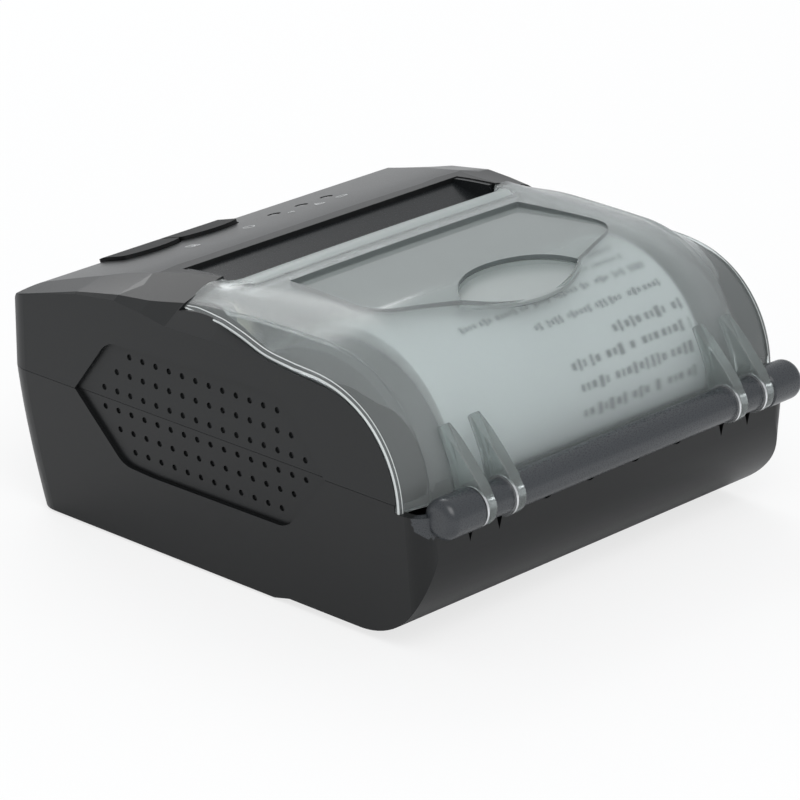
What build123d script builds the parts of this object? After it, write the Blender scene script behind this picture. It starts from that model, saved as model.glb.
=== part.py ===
from build123d import *
import os
from math import acos, atan2, cos, hypot, pi, radians, sin, tan

os.makedirs("parts", exist_ok=True)

# A pocket thermal receipt printer: a black two-part case, a smoky hinged cover over the
# paper roll, and a print mechanism under the cover's front edge.
# Millimetres. X runs along the hinge, +Y to the hinge side, -Y to the button side, Z up.
# The origin is on the table, at the middle of the box that holds the printer. Heights are
# written from the case's bottom, and every piece is lifted by the feet when it is saved.

# Case: outside sizes
half_width = 59.5
front_y = -66.1
rear_y = 59.8
parting_z = 33.0
bottom_inset_side = 3.3
bottom_inset_front = 4.5
front_corner_r = 7.0
rear_corner_r = 4.5
rear_bottom_r = 20.2
raised_floor = 1.1
step_start_y = 14.4
step_end_y = 19.0
wall = 2.2
joint_gap = 0.3
parting_gap = 0.1

# Nose: the rounded top front edge of the case
nose_r = 12.7
nose_y = front_y + nose_r
nose_z = 40.6

# Cover: drum round the roll, joint line and hinge
drum_y = 23.9
drum_z = 28.6
drum_r = 34.3
cover_front_y = -13.6
cover_edge_z = 31.6

# Hinge barrel along the rear edge
hinge_y = 61.66
hinge_z = 31.1
barrel_r = 3.8
cap_r = 4.5
lug_r = 4.4
hinge_pin_r = 1.25
run_gap = 0.05
side_gap = 0.15
rod_end = 33.8
lug_w = 3.1
knuckle_w = 5.4
cap_w = 10.2
pin_reach = 12.0
pin_short = 3.0
moon_x = (7.2, 20.8)
moon_r = 2.3
moon_z = 27.4
lip_z = 28.5

# Grip recess on each side, with its grid of round pits
grip_depth = 1.0
pit_r = 0.69
pit_depth = 0.5
pit_rows = (12, 14, 16, 16, 14, 12)
pit_shift = (2, 1, 0, 0, 1, 2)
pit_pitch_y = 4.066
pit_pitch_z = 4.453
pit_first_y = -34.6

# Paper roll and its cradle
roll_r = 26.5
roll_w = 79.5
core_r = 9.0
core_wall = 1.5
roll_y = 24.4
roll_z = 31.6
cradle_gap = 0.7
cradle_wall = 1.0
cradle_z = roll_z + cradle_gap - run_gap

# Print mechanism
head_gap = 0.3
platen_y = -7.5
platen_z = 50.5
platen_r = 4.8
platen_w = 80.4
shaft_r = 1.5
bush_r = 3.5
frame_plate_t = 2.0
frame_plate_x = 43.4
holder_ear_t = 2.0
holder_front = 2.6
holder_rear = 6.0
holder_gap = 0.8
holder_t = 2.6
holder_rib_x = (-30.0, -10.0, 10.0, 30.0)
ear_wall = 0.8
gear_module = 0.5
gear_w = 4.0
platen_teeth = 24
idler_teeth = 32
pinion_teeth = 14
backlash = 0.12
idler_dir = 214.8
pinion_dir = 209.7
motor_r = 8.0
motor_len = 15.0
head_t = 1.0
sink_t = 2.0
head_w = 82.0
head_low_z = 36.0
head_top_z = 53.0
ceramic_up = 4.0
ceramic_over = 0.8

# Buttons and lights
button_w = 17.2
button_len = 11.4
button_proud = 0.9
button_gap = 0.3
button_travel = 0.8
feed_x = 27.0
power_x = 9.2
button_y = -55.6
button_tilt = 27.0
light_r = 1.5
light_x = (-6.1, -14.8, -22.9)
light_y = -48.3

# Electronics, battery and bottom door
board_z = 23.0
board_t = 1.6
battery_w = 76.0
battery_l = 36.0
battery_h = 17.5
door_t = 2.0
door_w = 78.0
door_rear_y = -16.5
slide_gap = 0.25
foot_r = 4.0
foot_proud = 0.6
foot_sink = 0.8
foot_gap = 0.1
screw_r = 1.3
screw_small_r = 0.9
boss_r = 4.0
boss_x = 52.0
boss_front_y = -40.0
boss_rear_y = 6.0
port_y = -52.0
port_gap = 0.4
usb_w = 8.0
usb_h = 3.0
usb_wall = 0.4
jack_z = 18.0
jack_half = 4.1
jack_bore_r = 2.85
jack_pin_r = 0.9
battery_gap = 0.5
battery_front_y = -58.0
battery_corner_r = 4.0
connector_y = -27.0
connector_w = 32.0
connector_l = 4.0
connector_h = 2.0


def save(shape, name):
    """Write one node, lifted by the feet, as a single solid or as a group of separate solids."""
    solids = (Pos(0, 0, foot_proud) * shape).solids()
    volume = sum(s.volume for s in solids)
    print(f"{name}: {len(solids)} solids, {volume:.1f} mm3")
    export_step(solids[0] if len(solids) == 1 else Compound(children=list(solids)), f"parts/{name}.step")


def block(x0, x1, y0, y1, z0, z1):
    """A box between two corners."""
    return Pos((x0 + x1) / 2, (y0 + y1) / 2, (z0 + z1) / 2) * Box(abs(x1 - x0), abs(y1 - y0), abs(z1 - z0))


def rod_x(r, x0, x1, y, z):
    """A round bar along X."""
    return Pos((x0 + x1) / 2, y, z) * Rot(0, 90, 0) * Cylinder(r, abs(x1 - x0))


def rod_y(r, x, y0, y1, z):
    """A round bar along Y."""
    return Pos(x, (y0 + y1) / 2, z) * Rot(90, 0, 0) * Cylinder(r, abs(y1 - y0))


def rod_z(r, x, y, z0, z1):
    """A round bar along Z."""
    return Pos(x, y, (z0 + z1) / 2) * Cylinder(r, abs(z1 - z0))


def prism_x(points, x0, x1):
    """A side outline, given as (y, z) corners, drawn out along X."""
    face = Plane.YZ * make_face(Polyline(*points, close=True))
    return Pos(x0, 0, 0) * extrude(face, x1 - x0, dir=(1, 0, 0))


def both_sides(shape):
    """The shape and its mirror image across the middle plane."""
    return shape + mirror(shape, about=Plane.YZ)


# Case walls: rounded rectangles that widen from the table to the parting line
def wall_section(z, inset):
    """The case's plan outline at height z, drawn in by inset."""
    low = max(0.0, 1.0 - z / parting_z)
    side = half_width - bottom_inset_side * low - inset
    front = front_y + bottom_inset_front * low ** 1.6 + inset
    rear = rear_y - inset
    base = Plane.XY.offset(z) * Pos(0, (front + rear) / 2) * Rectangle(2 * side, rear - front)
    r_front = max(front_corner_r - inset, 1.0)
    r_rear = max(rear_corner_r - inset, 1.0)
    return fillet_pair(base, r_front, r_rear)


def fillet_pair(base, r_front, r_rear):
    """Round the front and the rear corners of a rectangle by their own radii."""
    base = fillet(base.vertices().sort_by(Axis.Y)[:2], r_front)
    return fillet(base.vertices().sort_by(Axis.Y)[-2:], r_rear)


def wall_block(inset, z_low, z_high):
    """The solid inside the case's walls, below and above the parting line."""
    low_levels = [z for z in (z_low, 8.0, 20.0, parting_z) if z_low <= z <= parting_z]
    low = loft([wall_section(z, inset).face() for z in low_levels])
    high = extrude(wall_section(parting_z, inset).face(), z_high - parting_z, dir=(0, 0, 1))
    return low + high


def base_outline(inset):
    """Side outline of the case's bottom: flat, a small step up, and a large rear corner."""
    r = rear_bottom_r - inset
    cy = rear_y - rear_bottom_r
    cz = raised_floor + rear_bottom_r
    edges = [
        Line((front_y - 5, inset), (step_start_y - 1, inset)),
        Line((step_start_y - 1, inset), (step_start_y, inset)),
        Line((step_start_y, inset), (step_end_y, raised_floor + inset)),
        Line((step_end_y, raised_floor + inset), (cy, raised_floor + inset)),
        ThreePointArc((cy, cz - r), (cy + r * sin(pi / 4), cz - r * cos(pi / 4)), (cy + r, cz)),
        Line((cy + r, cz), (cy + r, 90)),
        Line((cy + r, 90), (front_y - 5, 90)),
        Line((front_y - 5, 90), (front_y - 5, inset)),
    ]
    face = Plane.YZ * make_face(edges)
    return Pos(-70, 0, 0) * extrude(face, 140, dir=(1, 0, 0))


def nose_outline(inset):
    """Side outline that rounds the top front edge of the case."""
    r = nose_r - inset
    slope = radians(16)
    top = (nose_y - r * sin(slope), nose_z + r * cos(slope))
    far = 40.0
    edges = [
        Line((front_y + inset, -1), (front_y + inset, nose_z)),
        ThreePointArc((front_y + inset, nose_z),
                      (nose_y - r * cos(radians(40)), nose_z + r * sin(radians(40))), top),
        Line(top, (top[0] + far, top[1] + far * tan(radians(40)))),
        Line((top[0] + far, top[1] + far * tan(radians(40))), (80, 90)),
        Line((80, 90), (80, -1)),
        Line((80, -1), (front_y + inset, -1)),
    ]
    face = Plane.YZ * make_face(edges)
    return Pos(-70, 0, 0) * extrude(face, 140, dir=(1, 0, 0))


# Roof: the middle line of panel and cover, as (y, z), and the slopes at its sides.
# A row of roof_sides holds y, the shoulder's start (x, z) and the crease (x, z).
roof_line = ((-72.0, 48.2), (-56.0, 53.0), (-42.2, 56.9), (-29.9, 59.8), (-21.8, 60.9),
             (-14.2, 61.5), (-0.6, 62.3), (13.0, 62.8), (drum_y, drum_z + drum_r))
roof_sides = (
    (-72.0, 58.2, 47.8, 59.3, 47.4),
    (-56.0, 57.6, 52.0, 59.2, 51.6),
    (-42.2, 55.1, 56.1, 58.9, 55.4),
    (-29.9, 51.0, 59.1, 58.1, 57.5),
    (-14.2, 45.9, 60.8, 53.9, 58.5),
    (-0.6, 41.0, 61.8, 52.9, 59.6),
    (13.0, 39.0, 62.3, 52.2, 60.1),
    (drum_y, 38.0, 62.5, 51.4, 59.9),
)
strip_drop = 1.5
strip_x = 50.8
shoulder_x = 38.0
drum_shoulder_r = drum_r - 0.4
drum_crease_r = 31.3

# Strip: the steep band outside the crease, as y, crease (x, z) and height at the side wall.
# Behind the drum's top it turns with the drum and flattens out; drum_strip holds degrees
# from the top and the strip's outer radius.
roof_strip = (
    (-72.0, 59.3, 47.4, 47.2),
    (-56.0, 59.2, 51.6, 51.3),
    (-42.2, 58.9, 55.4, 55.0),
    (-29.9, 58.1, 57.5, 56.5),
    (-21.8, 56.3, 58.0, 55.8),
    (-14.2, 53.9, 58.5, 54.7),
    (-0.6, 52.9, 59.6, 55.0),
    (13.0, 52.2, 60.1, 54.9),
)
drum_strip = ((0.0, 26.1), (11.0, 26.6), (22.0, 27.3), (33.0, 28.3), (44.0, 29.2))
far_x = 66.0
sky_z = 80.0


def side_wedge(row, inset):
    """What the sloping shoulder takes off the roof at one station, as corners (x, z)."""
    _, x1, z1, x2, z2 = row
    slope = (z2 - z1) / (x2 - x1)
    low = z1 - inset
    start = x1 - 14.0
    return [(start, low - slope * 14.0), (far_x, low + slope * (far_x - x1)), (far_x, sky_z), (start, sky_z)]


def strip_wedge(row, inset):
    """What the strip beside the cover's crease takes off, as corners (x, z)."""
    _, x2, z2, edge_z = row
    slope = (edge_z - z2) / (half_width - x2)
    low = z2 - inset
    start = x2 - 10.0
    return [(start, low - slope * 10.0), (far_x, low + slope * (far_x - x2)), (far_x, sky_z), (start, sky_z)]


def strip_rows():
    """The strip's stations over the roof, then round the drum."""
    rows = list(roof_strip)
    for angle, edge_r in drum_strip:
        y = drum_y + edge_r * sin(radians(angle))
        crease_z = drum_z + (drum_crease_r ** 2 - (y - drum_y) ** 2) ** 0.5
        rows.append((y, strip_x, crease_z, drum_z + edge_r * cos(radians(angle))))
    return rows


def wedge_loft(rows, corners, inset):
    """The solid between wedge sections at successive stations along Y."""
    faces = []
    for row in rows:
        plane = Plane(origin=(0, row[0], 0), x_dir=(1, 0, 0), z_dir=(0, -1, 0))
        faces.append((plane * make_face(Polyline(*corners(row, inset), close=True))).face())
    return both_sides(loft(faces, ruled=True))


def roof_block(inset, foot_z):
    """The solid under panel, shoulders and drum, from foot_z up."""
    line = [(y, z - inset) for y, z in roof_line]
    edges = [
        Spline(*line, tangents=((1, 0.3), (1, 0))),
        Line(line[-1], (drum_y, foot_z)),
        Line((drum_y, foot_z), (line[0][0], foot_z)),
        Line((line[0][0], foot_z), line[0]),
    ]
    face = Plane.YZ * make_face(edges)
    top = Pos(-far_x, 0, 0) * extrude(face, 2 * far_x, dir=(1, 0, 0))
    top = top - wedge_loft(roof_sides, side_wedge, inset)
    edge_r = drum_crease_r - strip_drop - inset
    rim = [(0, 0), (0, drum_r - inset), (shoulder_x, drum_shoulder_r - inset),
           (strip_x, drum_crease_r - inset), (half_width, edge_r), (half_width, 0)]
    half = revolve(Plane.XY * make_face(Polyline(*rim, close=True)), Axis.X, 360)
    drum = Pos(0, drum_y, drum_z) * both_sides(half)
    drum = drum & block(-far_x, far_x, drum_y, drum_y + 60, foot_z, sky_z)
    return top + drum - wedge_loft(strip_rows(), strip_wedge, inset)


def case_block(inset, foot_z):
    """The case's and cover's whole outer form above foot_z, drawn in by inset."""
    return roof_block(inset, foot_z) & wall_block(inset, 0.0, sky_z) & nose_outline(inset)


def upper_only(shape):
    """The part of a shape above the parting line."""
    return shape & block(-80, 80, -80, 80, parting_z + parting_gap / 2, sky_z)


# Cover joint: a side outline; the cover lies above it, and the case below
edge_line = ((cover_front_y, 57.6), (3.0, 57.5), (12.3, 55.8), (21.9, 54.7), (30.8, 54.0), (35.9, 53.4),
             (40.0, 52.0), (44.0, 49.7), (47.2, 46.6), (49.7, 43.2), (52.0, 38.7), (53.1, 33.0))


def cover_zone(grow):
    """The region of the cover, widened by grow for the cut in its neighbours."""
    line = [(y, z - grow) for y, z in edge_line]
    first = (line[0][0] - grow, line[0][1])
    last = (line[-1][0], cover_edge_z - grow)
    edges = [
        Line((first[0], sky_z), first),
        Line(first, line[0]) if grow else None,
        Spline(*line),
        Line(line[-1], last),
        Line(last, (80, last[1])),
        Line((80, last[1]), (80, sky_z)),
        Line((80, sky_z), (first[0], sky_z)),
    ]
    face = Plane.YZ * make_face([e for e in edges if e is not None])
    return Pos(-70, 0, 0) * extrude(face, 140, dir=(1, 0, 0))


outer = case_block(0.0, cover_edge_z)
inner = case_block(wall, cover_edge_z - 5)
shell = outer - inner

# Grip recess: a long hexagon with rounded obtuse corners on each side wall
grip_outline = ((-43.1, 33.1), (-32.6, 46.4), (8.8, 48.1), (21.0, 47.8), (33.1, 32.8), (20.2, 18.2),
                (-20.3, 17.9), (-29.6, 18.4))
grip_round = 6.0


def grip_face():
    """The recess outline, sharp at its two ends and round at the other corners."""
    face = make_face(Polyline(*grip_outline, close=True))
    ends = (min(grip_outline)[0], max(grip_outline)[0])
    corners = [v for v in face.vertices() if min(abs(v.X - e) for e in ends) > 0.1]
    corners = [v for v in corners if abs(v.X + 20.3) > 0.1 and abs(v.X - 8.8) > 0.1]
    return fillet(corners, grip_round)


def grip_cut(floor_block):
    """What the recess takes off both side walls: the outline down to the recess floor."""
    prism = Pos(half_width - 10, 0, 0) * extrude(Plane.YZ * grip_face(), 20, dir=(1, 0, 0))
    return both_sides(prism - floor_block)


def grip_pits():
    """The grid of round pits in the recess floor, on both sides."""
    pits = []
    for row, (count, shift) in enumerate(zip(pit_rows, pit_shift)):
        z = parting_z + 0.1 + (2.5 - row) * pit_pitch_z
        low = max(0.0, 1.0 - z / parting_z)
        x = half_width - bottom_inset_side * low - grip_depth - pit_depth
        for i in range(count):
            y = pit_first_y + (shift + i) * pit_pitch_y
            pits.append(rod_x(pit_r, x, x + 2.0, y, z))
    right = Compound(children=[p.solid() for p in pits])
    return right, mirror(right, about=Plane.YZ)


grip_floor = wall_block(grip_depth, 0.0, sky_z)
recess = grip_cut(grip_floor)
pits_right, pits_left = grip_pits()


# Buttons and lights sit on one tilted plane across the nose
panel_dir = (0, -sin(radians(button_tilt)), cos(radians(button_tilt)))
panel_point = (0, button_y, 53.0)


def panel_plane(x, depth=0.0, y_shift=0.0):
    """The tilted plane over a point of the panel, sunk by depth."""
    along = (0, cos(radians(button_tilt)), sin(radians(button_tilt)))
    origin = tuple(panel_point[i] - depth * panel_dir[i] + y_shift * along[i] for i in range(3))
    return Plane(origin=(x, origin[1], origin[2]), x_dir=(1, 0, 0), z_dir=panel_dir)


def button_prism(x, grow):
    """A button's outline, drawn through the panel; its rear edge bows backwards."""
    half = button_w / 2 + grow
    front = -button_len / 2 - grow
    rear = button_len / 2 - 2.2 + grow
    edges = [
        Line((-half, front), (half, front)),
        Line((half, front), (half, rear)),
        ThreePointArc((half, rear), (0, rear + 2.2), (-half, rear)),
        Line((-half, rear), (-half, front)),
    ]
    face = fillet(make_face(edges).vertices(), 1.6 + grow)
    return extrude(panel_plane(x, -6.0) * face, 14.0, dir=tuple(-v for v in panel_dir))


# Upper case: panel, nose and side walls, with the openings for buttons, lights and bezel
bezel_x = 43.0
bezel_front_y = -25.8
bezel_rear_y = -14.6
bezel_low = 2.4
bezel_t = 1.6
stem_r = 1.6
button_board_depth = 12.0
button_board_t = 1.2
button_board_w = 80.0
button_board_l = 18.0
button_board_x = 2.0
button_board_shift = 2.5
switch_h = 2.0
switch_w = 6.0
stem_gap = 0.1
stem_root = 1.0
lamp_h = 1.0
light_len = 9.0
root_inset = 0.5
boss_up = 8.0
screw_spare = 1.0
leg_r = 1.3
leg_depth = button_board_depth - button_board_t / 2
board_leg_spots = ((-33.0, -3.0), (-33.0, 9.0), (-1.8, 9.0), (38.3, -3.0), (38.3, 9.0))


def make_upper_case():
    """The black upper shell."""
    body = upper_only(shell) - cover_zone(joint_gap)
    body = body - block(-bezel_x, bezel_x, bezel_front_y, cover_front_y + 3, parting_z + 5, sky_z)
    for x in (feed_x, power_x):
        body = body - button_prism(x, button_gap)
    for x in light_x:
        body = body - light_rod(x, run_gap, light_len)
    body = body - recess
    body = body - pits_right
    body = body - pits_left
    for x, shift in board_leg_spots:
        leg = panel_plane(x, leg_depth, shift) * Pos(0, 0, leg_depth / 2) * Cylinder(leg_r, leg_depth)
        body = body + (leg & case_block(root_inset, parting_z))
    for y in (boss_front_y, boss_rear_y):
        boss = block(boss_x - boss_r, half_width - wall + 0.2, y - boss_r, y + boss_r,
                     parting_z + parting_gap / 2, parting_z + boss_up)
        body = body + both_sides(boss)
    for x in (-boss_x, boss_x):
        for y in (boss_front_y, boss_rear_y):
            body = body - rod_z(screw_r, x, y, parting_z - 1, parting_z + boss_up - screw_spare)
    return body


def light_rod(x, grow, depth):
    """A light guide's round hole through the panel, square to the tilted plane."""
    shift = (light_y - button_y) / cos(radians(button_tilt))
    length = depth + 4.0
    return panel_plane(x, depth, shift) * Pos(0, 0, length / 2) * Cylinder(light_r + grow, length)


def make_light_guides():
    """Three clear light guides, a little under the panel's surface."""
    guides = [light_rod(x, 0.0, light_len) & case_block(side_gap, parting_z) for x in light_x]
    return guides[0] + guides[1] + guides[2]


def make_button(x):
    """One push button: a cap that stands proud of the panel, with a stem to its switch."""
    skin = case_block(-button_proud, parting_z) - case_block(wall - 0.2, parting_z - 5)
    cap = button_prism(x, 0.0) & skin
    stem_end = button_board_depth - button_board_t / 2 - switch_h - button_travel - stem_gap
    stem_len = stem_end - stem_root
    stem = panel_plane(x, stem_end) * Pos(0, 0, stem_len / 2) * Cylinder(stem_r, stem_len)
    return cap + (stem & case_block(root_inset, parting_z))


def make_button_board():
    """The small board under the buttons and lights."""
    plane = panel_plane(button_board_x, button_board_depth, button_board_shift)
    return plane * Box(button_board_w, button_board_l, button_board_t)


def make_switches():
    """Two push switches on the button board, just under the buttons' stems."""
    depth = button_board_depth - button_board_t / 2 - switch_h / 2
    switches = [panel_plane(x, depth) * Box(switch_w, switch_w, switch_h) for x in (feed_x, power_x)]
    return switches[0] + switches[1]


def make_lamps():
    """Three small lamps on the button board, one under each light guide."""
    shift = (light_y - button_y) / cos(radians(button_tilt))
    depth = button_board_depth - button_board_t / 2 - lamp_h / 2
    lamps = [panel_plane(x, depth, shift) * Box(1.6, 2.2, lamp_h) for x in light_x]
    return lamps[0] + lamps[1] + lamps[2]


# Bezel and tear blade: the glossy slope down to the paper slot
bezel_top_z = 59.3
bezel_lip = 4.0
bezel_end_t = 1.2
bezel_end_h = 4.5
blade_low_z = 52.6
blade_root_z = 56.4
blade_tip_z = 57.2
tooth_pitch = 1.0
blade_w = 78.0
blade_t = 0.4


def make_exit_bezel():
    """The glossy trough in front of the cover, with an upright wall at each end."""
    side = bezel_x - side_gap
    low_z = bezel_top_z - bezel_low
    front = bezel_front_y + side_gap
    slope = [(front, bezel_top_z), (bezel_rear_y, low_z), (bezel_rear_y, low_z - bezel_lip),
             (bezel_rear_y - bezel_t, low_z - bezel_lip), (bezel_rear_y - bezel_t, low_z - bezel_t),
             (front, bezel_top_z - bezel_t)]
    body = prism_x(slope, -side, side)
    wall_end = block(side - bezel_end_t, side, front, bezel_rear_y, bezel_top_z - bezel_end_h, sky_z)
    ends = both_sides(wall_end) & case_block(0.25, parting_z)
    return body + ends


def make_tear_blade():
    """The steel strip behind the bezel, with a row of small teeth to tear the paper on."""
    count = int(blade_w / tooth_pitch)
    points = [(-blade_w / 2, blade_low_z), (-blade_w / 2, blade_root_z)]
    for i in range(count):
        x = -blade_w / 2 + i * tooth_pitch
        points += [(x + tooth_pitch / 2, blade_tip_z), (x + tooth_pitch, blade_root_z)]
    points += [(blade_w / 2, blade_low_z)]
    face = Plane.XZ * make_face(Polyline(*points, close=True))
    return Pos(0, bezel_rear_y + blade_t, 0) * extrude(face, blade_t, dir=(0, -1, 0))


# Cover: the smoky shell with its window, finger notch, front bar and hinge lugs
window_front_y = -0.6
window_rear_y = 26.7
window_tip_y = 32.6
window_x_front = 35.7
window_x_rear = 38.0
window_depth = 0.9
window_corner_r = 5.0
notch_x = 18.4
notch_front_y = 22.8
notch_rear_y = 38.6
notch_floor_z = 60.2
notch_fall = 0.65
notch_wall = 1.0
notch_floor_t = 1.2
bar_front_y = -12.4
bar_low_z = 56.0
bar_x = 41.0


def window_face():
    """The window's outline from above: six corners, the rear ones rounded."""
    points = [(-window_x_front, window_front_y), (window_x_front, window_front_y),
              (window_x_rear, window_rear_y), (notch_x, window_tip_y),
              (-notch_x, window_tip_y), (-window_x_rear, window_rear_y)]
    face = make_face(Polyline(*points, close=True))
    outer_corners = [v for v in face.vertices() if abs(abs(v.X) - window_x_rear) < 0.1]
    return fillet(outer_corners, window_corner_r)


def notch_prism(grow):
    """The finger notch's lens shape, widened by grow and drawn out upwards."""
    tip = notch_x + 2 * grow
    edges = [
        ThreePointArc((-tip, window_tip_y), (0, notch_front_y - grow), (tip, window_tip_y)),
        ThreePointArc((tip, window_tip_y), (0, notch_rear_y + grow), (-tip, window_tip_y)),
    ]
    return extrude(Plane.XY.offset(50) * make_face(edges), 20, dir=(0, 0, 1))


def notch_over(depth):
    """The space over the notch's sloping floor, lowered by depth."""
    span = notch_rear_y - notch_front_y
    front = (notch_front_y - span, notch_floor_z + notch_fall - depth)
    rear = (notch_rear_y + span, notch_floor_z - 2 * notch_fall - depth)
    return prism_x([front, rear, (rear[0], sky_z), (front[0], sky_z)], -far_x, far_x)


def lug_solid(x0, x1):
    """One claw-shaped lug of the cover, from a point on the drum round the barrel."""
    tip = (53.2, 46.4)
    edges = [
        Spline(tip, (58.4, 41.8), (63.4, 36.8), (hinge_y + lug_r, hinge_z), tangents=((1, -0.9), (0, -1))),
        ThreePointArc((hinge_y + lug_r, hinge_z), (hinge_y + lug_r * 0.3, hinge_z - lug_r * 0.954),
                      (hinge_y - lug_r * 0.7, hinge_z - lug_r * 0.714)),
        Line((hinge_y - lug_r * 0.7, hinge_z - lug_r * 0.714), (56.6, 33.0)),
        Line((56.6, 33.0), (55.2, 38.0)),
        Line((55.2, 38.0), (51.6, 45.0)),
        Line((51.6, 45.0), tip),
    ]
    face = Plane.YZ * make_face(edges)
    body = Pos(x0, 0, 0) * extrude(face, x1 - x0, dir=(1, 0, 0))
    return body - rod_x(hinge_pin_r + run_gap, x0 - 1, x1 + 1, hinge_y, hinge_z)


roof_cut_window = case_block(window_depth, parting_z)
slot_w = lug_w + 2 * side_gap
lug_starts = (rod_end + side_gap, rod_end + slot_w + knuckle_w + side_gap)


def make_cover():
    """The smoky cover: shell, window recess, finger notch, front bar and lugs."""
    body = shell & cover_zone(0.0)
    bar = block(-bar_x, bar_x, bar_front_y, bar_front_y + 1.6, bar_low_z, 64) & case_block(0.2, parting_z)
    body = body - block(-bar_x - 0.4, bar_x + 0.4, cover_front_y - 1, bar_front_y, 50, 70)
    body = body + bar
    body = body - prism_x([(bar_front_y - 1, 59.6), (bar_front_y, 59.6), (bar_front_y + 2.4, 61.8),
                           (bar_front_y + 2.4, 66), (bar_front_y - 1, 66)], -bar_x, bar_x)
    recess_top = extrude(Plane.XY.offset(55) * window_face(), 15, dir=(0, 0, 1)) - roof_cut_window
    body = body - recess_top
    cup = notch_prism(notch_wall) & notch_over(notch_floor_t) & case_block(wall / 2, parting_z)
    body = (body + cup) - (notch_prism(0.0) & notch_over(0.0))
    keep_out = rod_x(barrel_r + 0.5, -60, 60, hinge_y, hinge_z)
    body = body - keep_out
    for x0 in lug_starts:
        body = body + both_sides(lug_solid(x0, x0 + lug_w))
    return body


pin_end = rod_end + 2 * slot_w + knuckle_w + cap_w - pin_short


def make_hinge_pins():
    """Two steel pins, one through each pair of lugs."""
    return both_sides(rod_x(hinge_pin_r, rod_end - pin_reach, pin_end, hinge_y, hinge_z))


# Lower case: floor, walls, hinge barrel, bosses and the battery door's opening
board_post_x = 44.5
board_post_front_y = -50.0
board_post_rear_y = -15.0
frame_post_x = 41.0
frame_post_front_y = -36.6
frame_post_rear_y = -8.0
post_r = 2.4
frame_low_z = 28.0
tongue = 1.75
lip_t = 1.0
v_tip_z = 22.6
floor_root = 0.5
board_screw_z = 14.0
frame_screw_z = 20.0
hole_spare = 2.0
screw_gap = 0.2
rib_x = 30.0
foot_x = 46.0
foot_front_y = -24.0
foot_rear_y = 30.0
screw_head_r = 2.4
screw_head_z = 20.0
screw_head_t = 2.0
cross_half = 1.6
cross_w = 0.7


def make_barrel():
    """Central rod, knuckles and domed caps along the rear edge, with the pins' holes."""
    body = rod_x(barrel_r, -rod_end, rod_end, hinge_y, hinge_z)
    knuckle_x = rod_end + slot_w
    cap_x = knuckle_x + knuckle_w + slot_w
    knuckle = rod_x(barrel_r, knuckle_x, knuckle_x + knuckle_w, hinge_y, hinge_z)
    cap = rod_x(cap_r, cap_x, cap_x + cap_w, hinge_y, hinge_z)
    cap = fillet(cap.edges().filter_by(GeomType.CIRCLE).sort_by(Axis.X)[-1:], 2.2)
    cap = chamfer(cap.edges().filter_by(GeomType.CIRCLE).sort_by(Axis.X)[:1], 0.4)
    lip_end = rear_y + 1.6
    lip = prism_x([(rear_y - 1, lip_z - 1.6), (lip_end, lip_z - 1.0), (lip_end, lip_z), (rear_y - 1, lip_z)],
                  -rod_end, rod_end)
    return body + lip + both_sides(knuckle) + both_sides(cap)


def v_slot(x0, x1):
    """The pointed clearance slot that a lug swings down into."""
    mid = (x0 + x1) / 2
    points = [(x0, lip_z), (x1, lip_z), (mid, v_tip_z)]
    face = Plane.XZ * make_face(Polyline(*points, close=True))
    return Pos(0, rear_y - 1.6, 0) * extrude(face, 4.0, dir=(0, 1, 0))


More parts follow.
